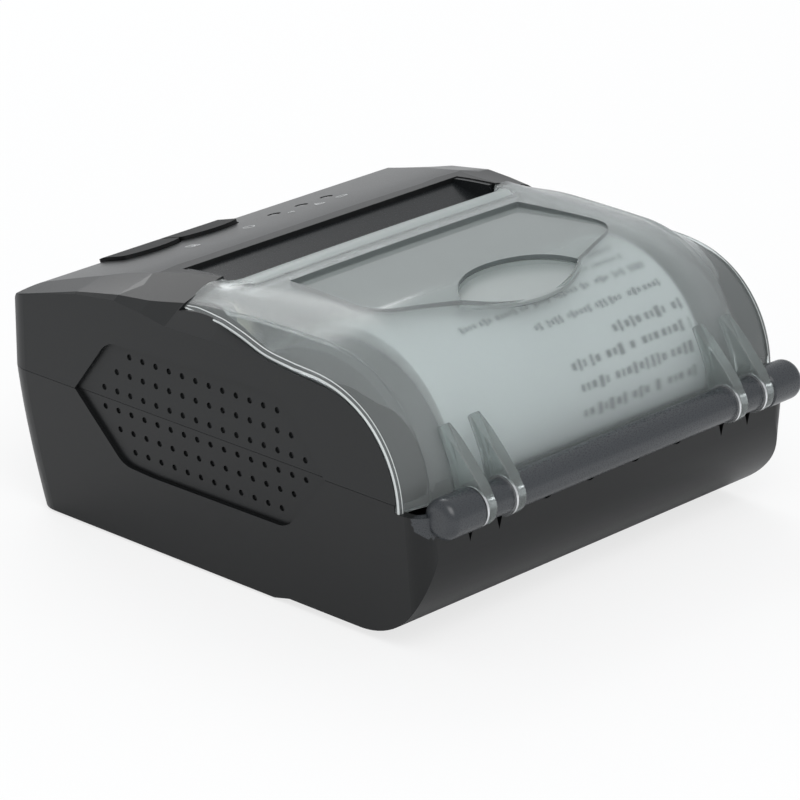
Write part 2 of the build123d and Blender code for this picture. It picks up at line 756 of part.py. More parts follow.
def make_lower_case():
    """The black lower shell with the hinge barrel."""
    walls = wall_block(0.0, 0.0, sky_z) & base_outline(0.0)
    hollow = wall_block(wall, 0.0, sky_z) & base_outline(wall)
    below = block(-80, 80, -80, 80, -1, parting_z - parting_gap / 2)
    body = (walls - hollow) & below
    seat = block(-half_width + 4.4, half_width - 4.4, 51.5, 64, cover_edge_z - joint_gap, 40)
    body = body - seat - block(-80, 80, 52.8, 64, cover_edge_z - joint_gap, 40)
    inside = hollow & below
    posts = []
    for y in (boss_front_y, boss_rear_y):
        posts.append(rod_z(boss_r, boss_x, y, floor_root, parting_z - parting_gap))
    for y in (board_post_front_y, board_post_rear_y):
        posts.append(rod_z(post_r, board_post_x, y, floor_root, board_z))
    for y in (frame_post_front_y, frame_post_rear_y):
        posts.append(rod_z(post_r, frame_post_x, y, floor_root, frame_low_z))
    rib = block(rib_x - 1, rib_x + 1, -2, 52, 0.5, 16)
    posts.append(rib - rod_x(roll_r + cradle_gap + cradle_wall, 0, 60, roll_y, cradle_z))
    posts.append(block(battery_w / 2 + 0.1, door_w / 2 + 3.0, front_y + 5, door_rear_y, 2.0, 6.0))
    solid_posts = posts[0]
    for post in posts[1:]:
        solid_posts = solid_posts + post
    solid_posts = solid_posts & (walls - block(-80, 80, -80, 80, -1, 0.4))
    body = body + both_sides(solid_posts)
    body = body + make_barrel()
    for x in (-boss_x, boss_x):
        for y in (boss_front_y, boss_rear_y):
            body = body - rod_z(screw_r + screw_gap, x, y, -1, parting_z + 1)
            body = body - rod_z(screw_head_r + screw_gap, x, y, -1, screw_head_z)
    for x in (-board_post_x, board_post_x):
        for y in (board_post_front_y, board_post_rear_y):
            body = body - rod_z(screw_small_r, x, y, board_screw_z - hole_spare, board_z + 1)
    for x in (-frame_post_x, frame_post_x):
        for y in (frame_post_front_y, frame_post_rear_y):
            body = body - rod_z(screw_small_r, x, y, frame_screw_z - hole_spare, frame_low_z + 1)
    for x0 in lug_starts:
        slot = rod_x(lug_r + 0.4, x0 - side_gap, x0 + lug_w + side_gap, hinge_y, hinge_z)
        slot = slot + v_slot(x0 - side_gap, x0 + lug_w + side_gap)
        slot = slot + block(x0 - side_gap, x0 + lug_w + side_gap, 55, hinge_y, hinge_z, 40)
        body = body - both_sides(slot)
    body = body - make_hinge_pins()
    for x in moon_x:
        moon = rod_y(moon_r, x, rear_y - 1.5, 62, moon_z) & block(x - 3, x + 3, 58, 62, 20, moon_z - 0.1)
        body = body - both_sides(moon)
    door_half = door_w / 2 + slide_gap
    body = body - block(-door_half, door_half, front_y - 5, door_rear_y + slide_gap, -1, door_t + slide_gap)
    body = body - block(-door_half - tongue, door_half + tongue, front_y - 5, door_rear_y + slide_gap,
                        lip_t, door_t + slide_gap)
    body = body - recess
    body = body - pits_right
    body = body - pits_left
    for x in (-foot_x, foot_x):
        body = body - rod_z(foot_r + foot_gap, x, foot_front_y, -1, foot_sink)
        body = body - rod_z(foot_r + foot_gap, x, foot_rear_y, -1, raised_floor + foot_sink)
    body = body - port_holes()
    return body


def port_holes():
    """The openings for the two sockets in the far side wall."""
    usb_half = usb_w / 2 + port_gap
    top = board_z + board_t
    usb = block(-64, -50, port_y - usb_half, port_y + usb_half, top - port_gap, top + usb_h + port_gap)
    hole = jack_half + port_gap
    return usb + block(-64, -50, port_y - hole, port_y + hole, jack_z - hole, jack_z + hole)


def make_usb_socket():
    """The data socket on the board: a thin steel shell with a tongue inside."""
    z0 = board_z + board_t
    half = usb_w / 2
    bore = half - usb_wall
    body = block(-58.4, -51.5, port_y - half, port_y + half, z0, z0 + usb_h)
    body = body - block(-60, -52.5, port_y - bore, port_y + bore, z0 + usb_wall, z0 + usb_h - usb_wall)
    middle = z0 + usb_h / 2
    return body + block(-57.6, -52.0, port_y - 0.6 * half, port_y + 0.6 * half, middle - 0.3, middle + 0.3)


def make_power_jack():
    """The round charging socket under the board, with its centre pin."""
    low, high = port_y - jack_half, port_y + jack_half
    body = block(-57.6, -47.2, low, high, jack_z - jack_half, jack_z + jack_half)
    body = body + block(-55.5, -47.2, low, high, jack_z, board_z)
    body = body - rod_x(jack_bore_r, -57.7, -48.5, port_y, jack_z)
    return body + rod_x(jack_pin_r, -57.0, -48.0, port_y, jack_z)


def make_battery_door():
    """The sliding plate under the battery, with side tongues and a grip ridge."""
    half = door_w / 2
    reach = half + tongue - 0.2
    body = block(-half, half, front_y - 5, door_rear_y, 0.0, door_t)
    body = body + block(-reach, reach, front_y - 5, door_rear_y, lip_t + 0.2, door_t)
    body = body & wall_block(0.0, 0.0, sky_z)
    for i in range(5):
        y = door_rear_y - 6.0 - 2.0 * i
        body = body - block(-9, 9, y, y + 1.0, -1, 0.5)
    return body


def make_feet():
    """Four rubber feet; the rear pair is taller, because the floor steps up there."""
    feet = []
    for x in (-foot_x, foot_x):
        feet.append(rod_z(foot_r, x, foot_front_y, -foot_proud, foot_sink))
        feet.append(rod_z(foot_r, x, foot_rear_y, -foot_proud, raised_floor + foot_sink))
    return Compound(children=[f.solid() for f in feet])


def make_case_screws():
    """Four long screws from below, through the lower bosses into the upper case."""
    screws = []
    for x in (-boss_x, boss_x):
        for y in (boss_front_y, boss_rear_y):
            head = rod_z(screw_head_r, x, y, screw_head_z - screw_head_t, screw_head_z)
            low, high = screw_head_z - screw_head_t - 1, screw_head_z - screw_head_t / 2
            head = head - block(x - cross_half, x + cross_half, y - cross_w / 2, y + cross_w / 2, low, high)
            head = head - block(x - cross_w / 2, x + cross_w / 2, y - cross_half, y + cross_half, low, high)
            thread = rod_z(screw_r, x, y, screw_head_z - 0.5, parting_z + boss_up - 1.5 * screw_spare)
            screws.append((head + thread).solid())
    return Compound(children=screws)


# Paper: cradle, roll, core and the loose end that runs up between head and platen
cradle_x = 40.6
deck_r = 27.6
deck_t = 1.0
deck_end_x = 50.4
cradle_front_z = 42.0
cradle_rear_z = 31.0
web_t = 0.15
web_gap = 0.06
web_bend_z = 53.2
web_top_z = 57.4
web_top_y = -13.3


def make_paper_cradle():
    """The trough under the roll, with end plates and curved decks beside it."""
    in_r = roll_r + cradle_gap
    tub = rod_x(in_r + cradle_wall, -cradle_x, cradle_x, roll_y, cradle_z)
    tub = tub - rod_x(in_r, -cradle_x, cradle_x, roll_y, cradle_z)
    tub = tub - block(-60, 60, roll_y, 80, cradle_rear_z, 80)
    tub = tub - block(-60, 60, -20, roll_y, cradle_front_z, 80)
    plate = rod_x(deck_r, cradle_x, cradle_x + deck_t, drum_y, drum_z)
    plate = plate & block(0, 60, -20, 80, cradle_rear_z, 80)
    plate = plate + (rod_x(in_r + cradle_wall, cradle_x, cradle_x + deck_t, roll_y, cradle_z)
                     & block(0, 60, -20, 80, 0, cradle_rear_z))
    deck_low = parting_z + 0.5
    deck = rod_x(deck_r, cradle_x + deck_t, deck_end_x, drum_y, drum_z)
    deck = deck - rod_x(deck_r - deck_t, cradle_x, half_width, drum_y, drum_z)
    deck = deck & block(0, 80, -20, 80, deck_low, 80)
    post = block(boss_x - boss_r - 0.4, 80, boss_rear_y - boss_r - 0.4, boss_rear_y + boss_r + 0.4, 0, 42)
    return tub + both_sides(plate) + both_sides(deck - post)


def make_paper_roll():
    """The roll of paper, as a thick ring."""
    body = rod_x(roll_r, -roll_w / 2, roll_w / 2, roll_y, roll_z)
    return body - rod_x(core_r + 0.1, -roll_w, roll_w, roll_y, roll_z)


def make_roll_core():
    """The cardboard tube that the paper is wound on."""
    body = rod_x(core_r + 0.1, -roll_w / 2, roll_w / 2, roll_y, roll_z)
    return body - rod_x(core_r - core_wall, -roll_w, roll_w, roll_y, roll_z)


def make_paper_web():
    """The loose end of the paper, from the roll under the platen and up to the slot."""
    r0 = platen_r + web_gap
    r1 = r0 + web_t
    leave = (roll_y - (roll_r + 0.1) * cos(radians(30)), roll_z + (roll_r + 0.1) * sin(radians(30)))
    edges = [
        Line(leave, (platen_y, platen_z - r1)),
        ThreePointArc((platen_y, platen_z - r1), (platen_y - r1 * sin(pi / 4), platen_z - r1 * cos(pi / 4)),
                      (platen_y - r1, platen_z)),
        Line((platen_y - r1, platen_z), (platen_y - r1, web_bend_z)),
        Line((platen_y - r1, web_bend_z), (web_top_y, web_top_z)),
        Line((web_top_y, web_top_z), (web_top_y + web_t, web_top_z)),
        Line((web_top_y + web_t, web_top_z), (platen_y - r0, web_bend_z)),
        Line((platen_y - r0, web_bend_z), (platen_y - r0, platen_z)),
        ThreePointArc((platen_y - r0, platen_z), (platen_y - r0 * sin(pi / 4), platen_z - r0 * cos(pi / 4)),
                      (platen_y, platen_z - r0)),
        Line((platen_y, platen_z - r0), (leave[0], leave[1] + web_t)),
        Line((leave[0], leave[1] + web_t), leave),
    ]
    face = Plane.YZ * make_face(edges)
    return Pos(-roll_w / 2, 0, 0) * extrude(face, roll_w, dir=(1, 0, 0))


# Gears: involute teeth on the outside of the right-hand frame plate
gear_x = frame_plate_x + frame_plate_t + 0.3
centre_gap = 0.06


def pitch_r(teeth):
    """A gear's pitch radius."""
    return gear_module * teeth / 2


def gear_centre(start, angle, teeth_a, teeth_b):
    """Where the next gear's axis lies, in mesh with the one at start."""
    reach = pitch_r(teeth_a) + pitch_r(teeth_b) + centre_gap
    return (start[0] + reach * cos(radians(angle)), start[1] + reach * sin(radians(angle)))


platen_axis = (platen_y, platen_z)
idler_axis = gear_centre(platen_axis, idler_dir, platen_teeth, idler_teeth)
pinion_axis = gear_centre(idler_axis, pinion_dir, idler_teeth, pinion_teeth)


def involute(angle):
    """The involute function of a pressure angle."""
    return tan(angle) - angle


def gear_solid(teeth, axis, phase, bore):
    """A spur gear with one tooth's middle at the phase angle, and a round bore."""
    r = pitch_r(teeth)
    base_r = r * cos(radians(20))
    tip_r = r + 0.9 * gear_module
    root_r = r - 1.2 * gear_module
    half_pitch = pi / (2 * teeth) - backlash / (2 * r) + involute(radians(20))
    low_r = max(base_r, root_r)
    levels = [low_r + (tip_r - low_r) * i / 3 for i in range(4)]
    widths = [half_pitch - involute(acos(base_r / max(v, base_r))) for v in levels]
    points = []
    for i in range(teeth):
        mid = phase + 2 * pi * i / teeth
        sides = [(root_r, widths[0])] + list(zip(levels, widths))
        for rho, w in sides:
            points.append((rho * cos(mid - w), rho * sin(mid - w)))
        for rho, w in reversed(sides):
            points.append((rho * cos(mid + w), rho * sin(mid + w)))
    steps = [hypot(p[0] - points[i - 1][0], p[1] - points[i - 1][1]) for i, p in enumerate(points)]
    clean = [p for p, step in zip(points, steps) if step > 1e-4]
    face = make_face(Polyline(*clean, close=True))
    if bore:
        face = face - Circle(bore)
    body = extrude(Plane.YZ * face, gear_w, dir=(1, 0, 0))
    return Pos(gear_x, axis[0], axis[1]) * body


idler_angle = atan2(idler_axis[1] - platen_axis[1], idler_axis[0] - platen_axis[0])
pinion_angle = atan2(pinion_axis[1] - idler_axis[1], pinion_axis[0] - idler_axis[0])
platen_phase = idler_angle
idler_phase = idler_angle + pi + pi / idler_teeth
tooth_step = 2 * pi / idler_teeth
tooth_offset = (idler_phase - pinion_angle) % tooth_step
pinion_phase = pinion_angle + pi - tooth_offset * idler_teeth / pinion_teeth + pi / pinion_teeth
motor_shaft_r = 1.0


def make_platen_gear():
    """The gear on the platen's shaft."""
    return gear_solid(platen_teeth, platen_axis, platen_phase, shaft_r)


def make_idler_gear():
    """The gear between motor and platen."""
    return gear_solid(idler_teeth, idler_axis, idler_phase, shaft_r + run_gap)


def make_motor_pinion():
    """The small gear on the motor's shaft."""
    return gear_solid(pinion_teeth, pinion_axis, pinion_phase, motor_shaft_r)


# Platen: rubber sleeve on a steel shaft, in two bushes held by the cover
def make_platen_rubber():
    """The black rubber sleeve."""
    body = rod_x(platen_r, -platen_w / 2, platen_w / 2, platen_y, platen_z)
    return body - rod_x(shaft_r, -60, 60, platen_y, platen_z)


def make_platen_shaft():
    """The steel shaft through rubber, bushes and gear."""
    return rod_x(shaft_r, -frame_plate_x - frame_plate_t - 1.0, gear_x + gear_w + 0.4, platen_y, platen_z)


ear_x = frame_plate_x - holder_ear_t - 0.6
bush_len = holder_ear_t + 0.6 + frame_plate_t


def make_platen_bushes():
    """Two plain bushes; the cover's holder and the frame share their length."""
    body = rod_x(bush_r, ear_x, ear_x + bush_len, platen_y, platen_z)
    return both_sides(body - rod_x(shaft_r + run_gap, 0, 60, platen_y, platen_z))


def make_platen_holder():
    """The black bar under the cover's front edge, with an ear for each bush."""
    low = platen_z + platen_r + holder_gap
    bar = block(-ear_x - holder_ear_t, ear_x + holder_ear_t, platen_y - holder_front, platen_y + holder_rear,
                low, low + holder_t)
    web = block(ear_x, ear_x + holder_ear_t, platen_y - holder_front - 0.3, platen_y + holder_rear,
                platen_z, low + holder_t)
    ear = web + rod_x(bush_r + ear_wall, ear_x, ear_x + holder_ear_t, platen_y, platen_z)
    ear = ear - rod_x(bush_r, 0, 80, platen_y, platen_z)
    body = bar + both_sides(ear)
    for x in holder_rib_x:
        body = body + block(x - 1.5, x + 1.5, platen_y, platen_y + holder_rear, low + holder_t / 2, sky_z)
    return body & case_block(wall, parting_z)


# Frame: the steel channel that carries head, gears and motor
motor_boss_r = 3.0
motor_screw_up = 9.2
head_pin_r = 1.0
head_pin_y = -15.2
head_pin_z = 37.8
spring_wall_y = -19.4
cable_w = 26.0
frame_head_r = 1.7


def make_mech_frame():
    """Two side plates with open notches for the bushes, a floor plate and a spring wall."""
    outline = [(-38, frame_low_z), (-5.2, frame_low_z), (-4.8, 34.0), (-2.6, 40.0), (-1.2, 45.0),
               (-1.2, 52.0), (-14.6, 52.0), (-20.0, 51.0), (-38, 44.0)]
    plate = prism_x(outline, frame_plate_x, frame_plate_x + frame_plate_t)
    lift = atan2(platen_z - hinge_z, hinge_y - platen_y)
    up = (sin(lift), cos(lift))
    side = (up[1], -up[0])
    r = bush_r + 0.15
    far = 12.0
    notch = [(platen_y - side[0] * r, platen_z - side[1] * r),
             (platen_y - side[0] * r + up[0] * far, platen_z - side[1] * r + up[1] * far),
             (platen_y + side[0] * (r + 2.5) + up[0] * far, platen_z + side[1] * (r + 2.5) + up[1] * far),
             (platen_y + side[0] * r, platen_z + side[1] * r)]
    plate = plate - prism_x(notch, 40, 50) - rod_x(r, 40, 50, platen_y, platen_z)
    sides = both_sides(plate)
    sides = sides - rod_x(motor_boss_r, 40, 50, *pinion_axis)
    sides = sides - rod_x(screw_small_r, 40, 50, pinion_axis[0], pinion_axis[1] + motor_screw_up)
    sides = sides - rod_x(head_pin_r, -50, 50, head_pin_y, head_pin_z)
    floor_plate = block(-frame_plate_x - 0.5, frame_plate_x + 0.5, -20.6, -4.0, frame_low_z, frame_low_z + 2)
    spring_wall = block(-frame_plate_x - 0.5, frame_plate_x + 0.5, spring_wall_y - 1.4, spring_wall_y,
                        frame_low_z, 50.0)
    cable_way = block(-cable_w / 2 - 1, cable_w / 2 + 1, spring_wall_y - 3, spring_wall_y + 1, 31.0, 37.0)
    body = sides + floor_plate + (spring_wall - cable_way)
    body = body - rod_x(shaft_r, frame_plate_x, 50, *idler_axis)
    for y in (frame_post_front_y, frame_post_rear_y):
        tab = block(frame_post_x - post_r, frame_plate_x + 0.5, y - post_r, y + post_r,
                    frame_low_z, frame_low_z + frame_plate_t)
        body = body + both_sides(tab)
    for x in (-frame_post_x, frame_post_x):
        for y in (frame_post_front_y, frame_post_rear_y):
            body = body - rod_z(screw_small_r + 0.1, x, y, frame_low_z - 1, frame_low_z + 12)
    return body


def make_frame_screws():
    """Four screws that hold the frame on its posts."""
    screws = []
    top = frame_low_z + frame_plate_t
    for x in (-frame_post_x, frame_post_x):
        for y in (frame_post_front_y, frame_post_rear_y):
            head = rod_z(frame_head_r, x, y, top, top + 1.0)
            screws.append((head + rod_z(screw_small_r, x, y, frame_screw_z, top + 0.5)).solid())
    return Compound(children=screws)


# Head: a ceramic bar with heater line on an aluminium plate, pressed back by two springs
head_face_y = platen_y - platen_r - head_gap


def make_print_head():
    """The ceramic bar."""
    low_z = head_low_z + ceramic_up
    return block(-head_w / 2, head_w / 2, head_face_y - head_t, head_face_y, low_z, head_top_z)


def make_head_plate():
    """The aluminium plate behind the ceramic, with the rail that turns on the pin."""
    back = head_face_y - head_t
    body = block(-head_w / 2, head_w / 2, back - sink_t, back, head_low_z, head_top_z - ceramic_over)
    body = body + block(-head_w / 2, head_w / 2, head_pin_y - 2.0, back, head_low_z, head_pin_z + 2.2)
    return body - rod_x(head_pin_r + run_gap, -60, 60, head_pin_y, head_pin_z)


def make_head_pin():
    """The steel pin that the head tilts on."""
    end = frame_plate_x + frame_plate_t
    return rod_x(head_pin_r, -end, end, head_pin_y, head_pin_z)


spring_r = 2.2
wire_r = 0.3
spring_turns = 4
spring_z = 45.5
spring_x = 20.0


def make_head_springs():
    """Two small coil springs between the spring wall and the head's plate."""
    y0 = spring_wall_y
    y1 = head_face_y - head_t - sink_t - head_gap
    length = y1 - y0 - 2 * wire_r
    path = Helix(pitch=length / spring_turns, height=length, radius=spring_r)
    wire = Plane(origin=path @ 0, z_dir=path % 0) * Circle(wire_r)
    coil = sweep(wire, path=path)
    seat = Cylinder(spring_r + 0.2, 0.4)
    coils = []
    for x in (-spring_x, spring_x):
        part = Pos(x, y0 + wire_r, spring_z) * Rot(-90, 0, 0) * coil
        coils.append(part + (Pos(x, y0 + 0.2, spring_z) * Rot(90, 0, 0) * seat))
    return coils[0] + coils[1]


# Motor and gear axles
def make_stepper_motor():
    """The round can of the motor, with its mounting flange and boss."""
    x1 = frame_plate_x
    body = rod_x(motor_r, x1 - motor_len, x1, *pinion_axis)
    body = body + rod_x(motor_boss_r, x1 - 1, x1 + 1.4, *pinion_axis)
    flange = block(x1 - 0.8, x1, pinion_axis[0] - 3.5, pinion_axis[0] + 3.5,
                   pinion_axis[1] - motor_r - 0.4, pinion_axis[1] + motor_r + 3.0)
    body = body + (flange & block(0, 60, -60, 0, frame_low_z + 1.8, 60))
    body = body - rod_x(screw_small_r, x1 - 0.8, x1 + 1, pinion_axis[0], pinion_axis[1] + motor_screw_up)
    return body - rod_x(motor_shaft_r + run_gap, x1 - motor_len + 1.5, 60, *pinion_axis)


def make_motor_screw():
    """The screw through the frame plate into the motor's flange."""
    x = frame_plate_x + frame_plate_t
    z = pinion_axis[1] + motor_screw_up
    return rod_x(1.6, x, x + 0.8, pinion_axis[0], z) + rod_x(screw_small_r, frame_plate_x - 0.8, x + 0.4,
                                                            pinion_axis[0], z)


def make_motor_shaft():
    """The motor's shaft, which carries the pinion."""
    return rod_x(motor_shaft_r, frame_plate_x - motor_len + 2.0, gear_x + gear_w + 0.3, *pinion_axis)


def make_idler_pin():
    """The fixed axle of the middle gear, with a head that keeps the gear on."""
    body = rod_x(shaft_r, frame_plate_x, gear_x + gear_w + 0.3, *idler_axis)
    return body + rod_x(shaft_r + 1.0, gear_x + gear_w + 0.3, gear_x + gear_w + 1.1, *idler_axis)


# Electronics
board_front_y = -58.0
board_rear_y = -11.0
board_x = 47.0
wing_x = 56.0
board_head_r = 1.8


def make_main_board():
    """The green board, with a wing that reaches the sockets and holes for the posts."""
    body = block(-board_x, board_x, board_front_y, board_rear_y, board_z, board_z + board_t)
    body = body + block(-wing_x, -board_x + 1, board_front_y + 1, port_y + 6.0, board_z, board_z + board_t)
    for x in (-frame_post_x, frame_post_x):
        body = body - rod_z(post_r + 0.3, x, frame_post_front_y, board_z - 1, board_z + 3)
    for x in (-board_post_x, board_post_x):
        for y in (board_post_front_y, board_post_rear_y):
            body = body - rod_z(screw_small_r + 0.2, x, y, board_z - 1, board_z + 3)
    return body


chips = ((-12.0, -48.0, 9.0, 9.0, 1.4), (8.0, -50.0, 7.0, 5.0, 1.1), (-30.0, -50.0, 5.0, 6.0, 1.5),
         (24.0, -46.0, 6.0, 4.0, 1.2))


def make_board_chips():
    """The chips on the board."""
    top = board_z + board_t
    bodies = [block(x - w / 2, x + w / 2, y - l / 2, y + l / 2, top, top + h) for x, y, w, l, h in chips]
    return Compound(children=[b.solid() for b in bodies])


def make_radio_module():
    """The shielded radio module on the board."""
    top = board_z + board_t
    return block(28.0, 40.0, -57.0, -49.0, top, top + 2.2)


def make_head_connector():
    """The flat cable's socket on the board."""
    top = board_z + board_t
    return block(-connector_w / 2, connector_w / 2, connector_y - connector_l / 2,
                 connector_y + connector_l / 2, top, top + connector_h)


def make_head_cable():
    """The flat cable from the head's plate down to its socket."""
    back = head_pin_y - 2.0
    y0 = connector_y
    z0 = board_z + board_t + connector_h
    points = [(y0 - 0.15, z0), (y0 + 0.15, z0), (y0 + 0.15, 31.6), (back - 1.2, 33.6), (back - 1.2, 36.4),
              (back, 36.4), (back, 36.7), (back - 1.5, 36.7), (back - 1.5, 33.8), (y0 - 0.15, 31.8)]
    return prism_x(points, -cable_w / 2, cable_w / 2)


def make_board_screws():
    """Four small screws that hold the board on its posts."""
    screws = []
    for x in (-board_post_x, board_post_x):
        for y in (board_post_front_y, board_post_rear_y):
            top = board_z + board_t
            head = rod_z(board_head_r, x, y, top, top + 1.2)
            screws.append((head + rod_z(screw_small_r, x, y, board_screw_z, top + 0.5)).solid())
    return Compound(children=screws)


def make_battery_contacts():
    """Three spring blades between the board and the battery."""
    blades = []
    battery_top = door_t + battery_gap + battery_h
    for x in (-6.0, 0.0, 6.0):
        blades.append(block(x - 1.0, x + 1.0, -24.0, -23.2, battery_top, board_z).solid())
    return Compound(children=blades)


def make_battery_pack():
    """The flat rechargeable pack over the sliding door."""
    low = door_t + battery_gap
    rear = battery_front_y + battery_l
    body = block(-battery_w / 2, battery_w / 2, battery_front_y, rear, low, low + battery_h)
    return fillet(body.edges().filter_by(Axis.Y), battery_corner_r)


def make_paper_sensor():
    """The small optical sensor that looks at the paper, on a bracket of the floor plate."""
    body = block(-3.0, 3.0, -9.0, -5.0, frame_low_z + 2.0, 42.0)
    return body + block(-4.0, 4.0, -9.5, -4.5, 42.0, 44.0)


def make_buzzer():
    """The round sounder on the board."""
    top = board_z + board_t
    return rod_z(4.5, -26.0, -17.0, top, top + 2.8) - rod_z(1.0, -26.0, -17.0, top + 1.5, top + 4)


save(make_lower_case(), "lower_case")
save(make_upper_case(), "upper_case")
save(make_exit_bezel(), "exit_bezel")
save(make_tear_blade(), "tear_blade")
save(make_light_guides(), "light_guides")
save(make_button_board(), "button_board")
save(make_switches(), "button_switches")
save(make_lamps(), "status_lamps")
save(make_button(feed_x), "feed_button")
save(make_button(power_x), "power_button")
save(make_cover(), "cover")
save(make_hinge_pins(), "hinge_pins")
save(make_platen_holder(), "platen_holder")
save(make_platen_bushes(), "platen_bushes")
save(make_platen_rubber(), "platen_rubber")
save(make_platen_shaft(), "platen_shaft")
save(make_platen_gear(), "platen_gear")
save(make_idler_gear(), "idler_gear")
save(make_idler_pin(), "idler_pin")
save(make_motor_pinion(), "motor_pinion")
save(make_motor_shaft(), "motor_shaft")
save(make_stepper_motor(), "stepper_motor")
save(make_motor_screw(), "motor_screw")
save(make_mech_frame(), "mech_frame")
save(make_frame_screws(), "frame_screws")
save(make_print_head(), "print_head")
save(make_head_plate(), "head_plate")
save(make_head_pin(), "head_pin")
save(make_head_springs(), "head_springs")
save(make_head_cable(), "head_cable")
save(make_head_connector(), "head_connector")
save(make_paper_sensor(), "paper_sensor")
save(make_paper_cradle(), "paper_cradle")
save(make_paper_roll(), "paper_roll")
save(make_roll_core(), "roll_core")
save(make_paper_web(), "paper_web")
save(make_main_board(), "main_board")
save(make_board_chips(), "board_chips")
save(make_radio_module(), "radio_module")
save(make_buzzer(), "buzzer")
save(make_board_screws(), "board_screws")
save(make_usb_socket(), "usb_socket")
save(make_power_jack(), "power_jack")
save(make_battery_pack(), "battery_pack")
save(make_battery_contacts(), "battery_contacts")
save(make_battery_door(), "battery_door")
save(make_case_screws(), "case_screws")
save(make_feet(), "rubber_feet")
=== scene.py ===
# %% [markdown]
# This lesson dresses a pocket receipt printer in Blender: a black two-part case, a smoky
# hinged cover over a roll of paper, and a sloping panel with two keys and three lights.
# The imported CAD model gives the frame: every solid is already at its place, in metres, and
# rides on the body that it moves with. We keep the solids whose shape is right, give them
# real finishes, and build anew what needs softer curves than the solids have.

# %% Load the frame
import math

import bmesh
import bpy
import numpy as np
from mathutils import Matrix, Vector


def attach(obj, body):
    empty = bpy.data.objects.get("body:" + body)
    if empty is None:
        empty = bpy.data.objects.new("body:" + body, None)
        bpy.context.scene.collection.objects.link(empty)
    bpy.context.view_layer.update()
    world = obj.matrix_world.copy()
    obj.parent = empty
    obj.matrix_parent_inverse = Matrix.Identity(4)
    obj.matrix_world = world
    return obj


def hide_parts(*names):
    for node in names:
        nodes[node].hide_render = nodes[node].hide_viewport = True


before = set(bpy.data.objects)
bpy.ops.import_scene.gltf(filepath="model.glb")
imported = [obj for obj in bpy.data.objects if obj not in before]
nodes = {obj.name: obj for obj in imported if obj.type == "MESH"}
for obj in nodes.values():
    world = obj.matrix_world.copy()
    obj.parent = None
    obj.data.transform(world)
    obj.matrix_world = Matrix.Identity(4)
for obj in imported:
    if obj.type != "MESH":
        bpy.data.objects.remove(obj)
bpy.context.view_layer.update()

# %% [markdown]
# Sizes are easiest to read in millimetres, measured from the bottom of the case as on the
# drawing. The feet lift the case off the table, so one helper turns a drawing point into
# Blender's metres, and adds the feet's height.

# %% From drawing millimetres to metres
MM = 0.001
FEET = 0.6


def at(x, y, z):
    """A drawing point in millimetres, as a point of the frame in metres."""
    return Vector((x, y, z + FEET)) * MM


# %% [markdown]
# The photograph looks down on the printer's rear corner from about 130 degrees round and
# 21 degrees up, through a long lens. A long lens keeps parallel edges nearly parallel, so the
# camera stands a metre away and the focal length is about 200 mm.

# %% The camera
EYE = Vector((665.75, 635.65, 385.66)) * MM
LOOK = Vector((-0.6723, -0.6445, -0.3643)).normalized()
ROLL = math.radians(-0.11)
LENS_MM = 202.3
SENSOR_MM = 36.0


def add_object(name, data):
    """A new object of some data, put into the scene."""
    made = bpy.data.objects.new(name, data)
    bpy.context.scene.collection.objects.link(made)
    return made


side = LOOK.cross(Vector((0, 0, 1))).normalized()
top = side.cross(LOOK)
cam_x = side * math.cos(ROLL) + top * math.sin(ROLL)
cam_y = top * math.cos(ROLL) - side * math.sin(ROLL)
camera = add_object("camera", bpy.data.cameras.new("camera"))
camera.matrix_world = Matrix.Translation(EYE) @ Matrix((cam_x, cam_y, -LOOK)).transposed().to_4x4()
camera.data.lens = LENS_MM
camera.data.sensor_width = SENSOR_MM
camera.data.clip_start = 0.01
camera.data.clip_end = 20.0
bpy.context.scene.camera = camera
bpy.context.scene.view_settings.view_transform = "Standard"
print("camera at", [round(v, 3) for v in EYE], "lens", LENS_MM)

# %% [markdown]
# The studio is a white table under a white sky. A wide soft lamp over the rear gives the
# long pale glow on the cover, and a weaker one in front keeps the panel readable. The world is
# white for the camera, and a little dimmer as a light and in reflections, so that black
# plastic stays black. The table glows faintly for the camera, and still keeps the shadow.

# %% Table, sky and lamps
WORLD_LIGHT = 0.62
TABLE_HALF = 6.0
TABLE_GLOW = 0.75


def mesh_object(name, verts, faces):
    """A new mesh object from points in metres and faces."""
    mesh = bpy.data.meshes.new(name)
    mesh.from_pydata([tuple(v) for v in verts], [], faces)
    mesh.update()
    return add_object(name, mesh)


def new_paint(name):
    """A new material with its node tree and its shader."""
    paint = bpy.data.materials.new(name)
    paint.use_nodes = True
    return paint, paint.node_tree, paint.node_tree.nodes["Principled BSDF"]


def make_sky():
    """A white world that lights the object at a plain level."""
    world = bpy.data.worlds.new("studio")
    bpy.context.scene.world = world
    world.use_nodes = True
    tree = world.node_tree
    tree.nodes.clear()
    out = tree.nodes.new("ShaderNodeOutputWorld")
    mix = tree.nodes.new("ShaderNodeMixShader")
    path = tree.nodes.new("ShaderNodeLightPath")
    light = tree.nodes.new("ShaderNodeBackground")
    seen = tree.nodes.new("ShaderNodeBackground")
    light.inputs["Color"].default_value = (0.96, 0.98, 1.0, 1.0)
    light.inputs["Strength"].default_value = WORLD_LIGHT
    seen.inputs["Color"].default_value = (1.0, 1.0, 1.0, 1.0)
    seen.inputs["Strength"].default_value = 1.0
    tree.links.new(path.outputs["Is Camera Ray"], mix.inputs["Fac"])
    tree.links.new(light.outputs[0], mix.inputs[1])
    tree.links.new(seen.outputs[0], mix.inputs[2])
    tree.links.new(mix.outputs[0], out.inputs["Surface"])


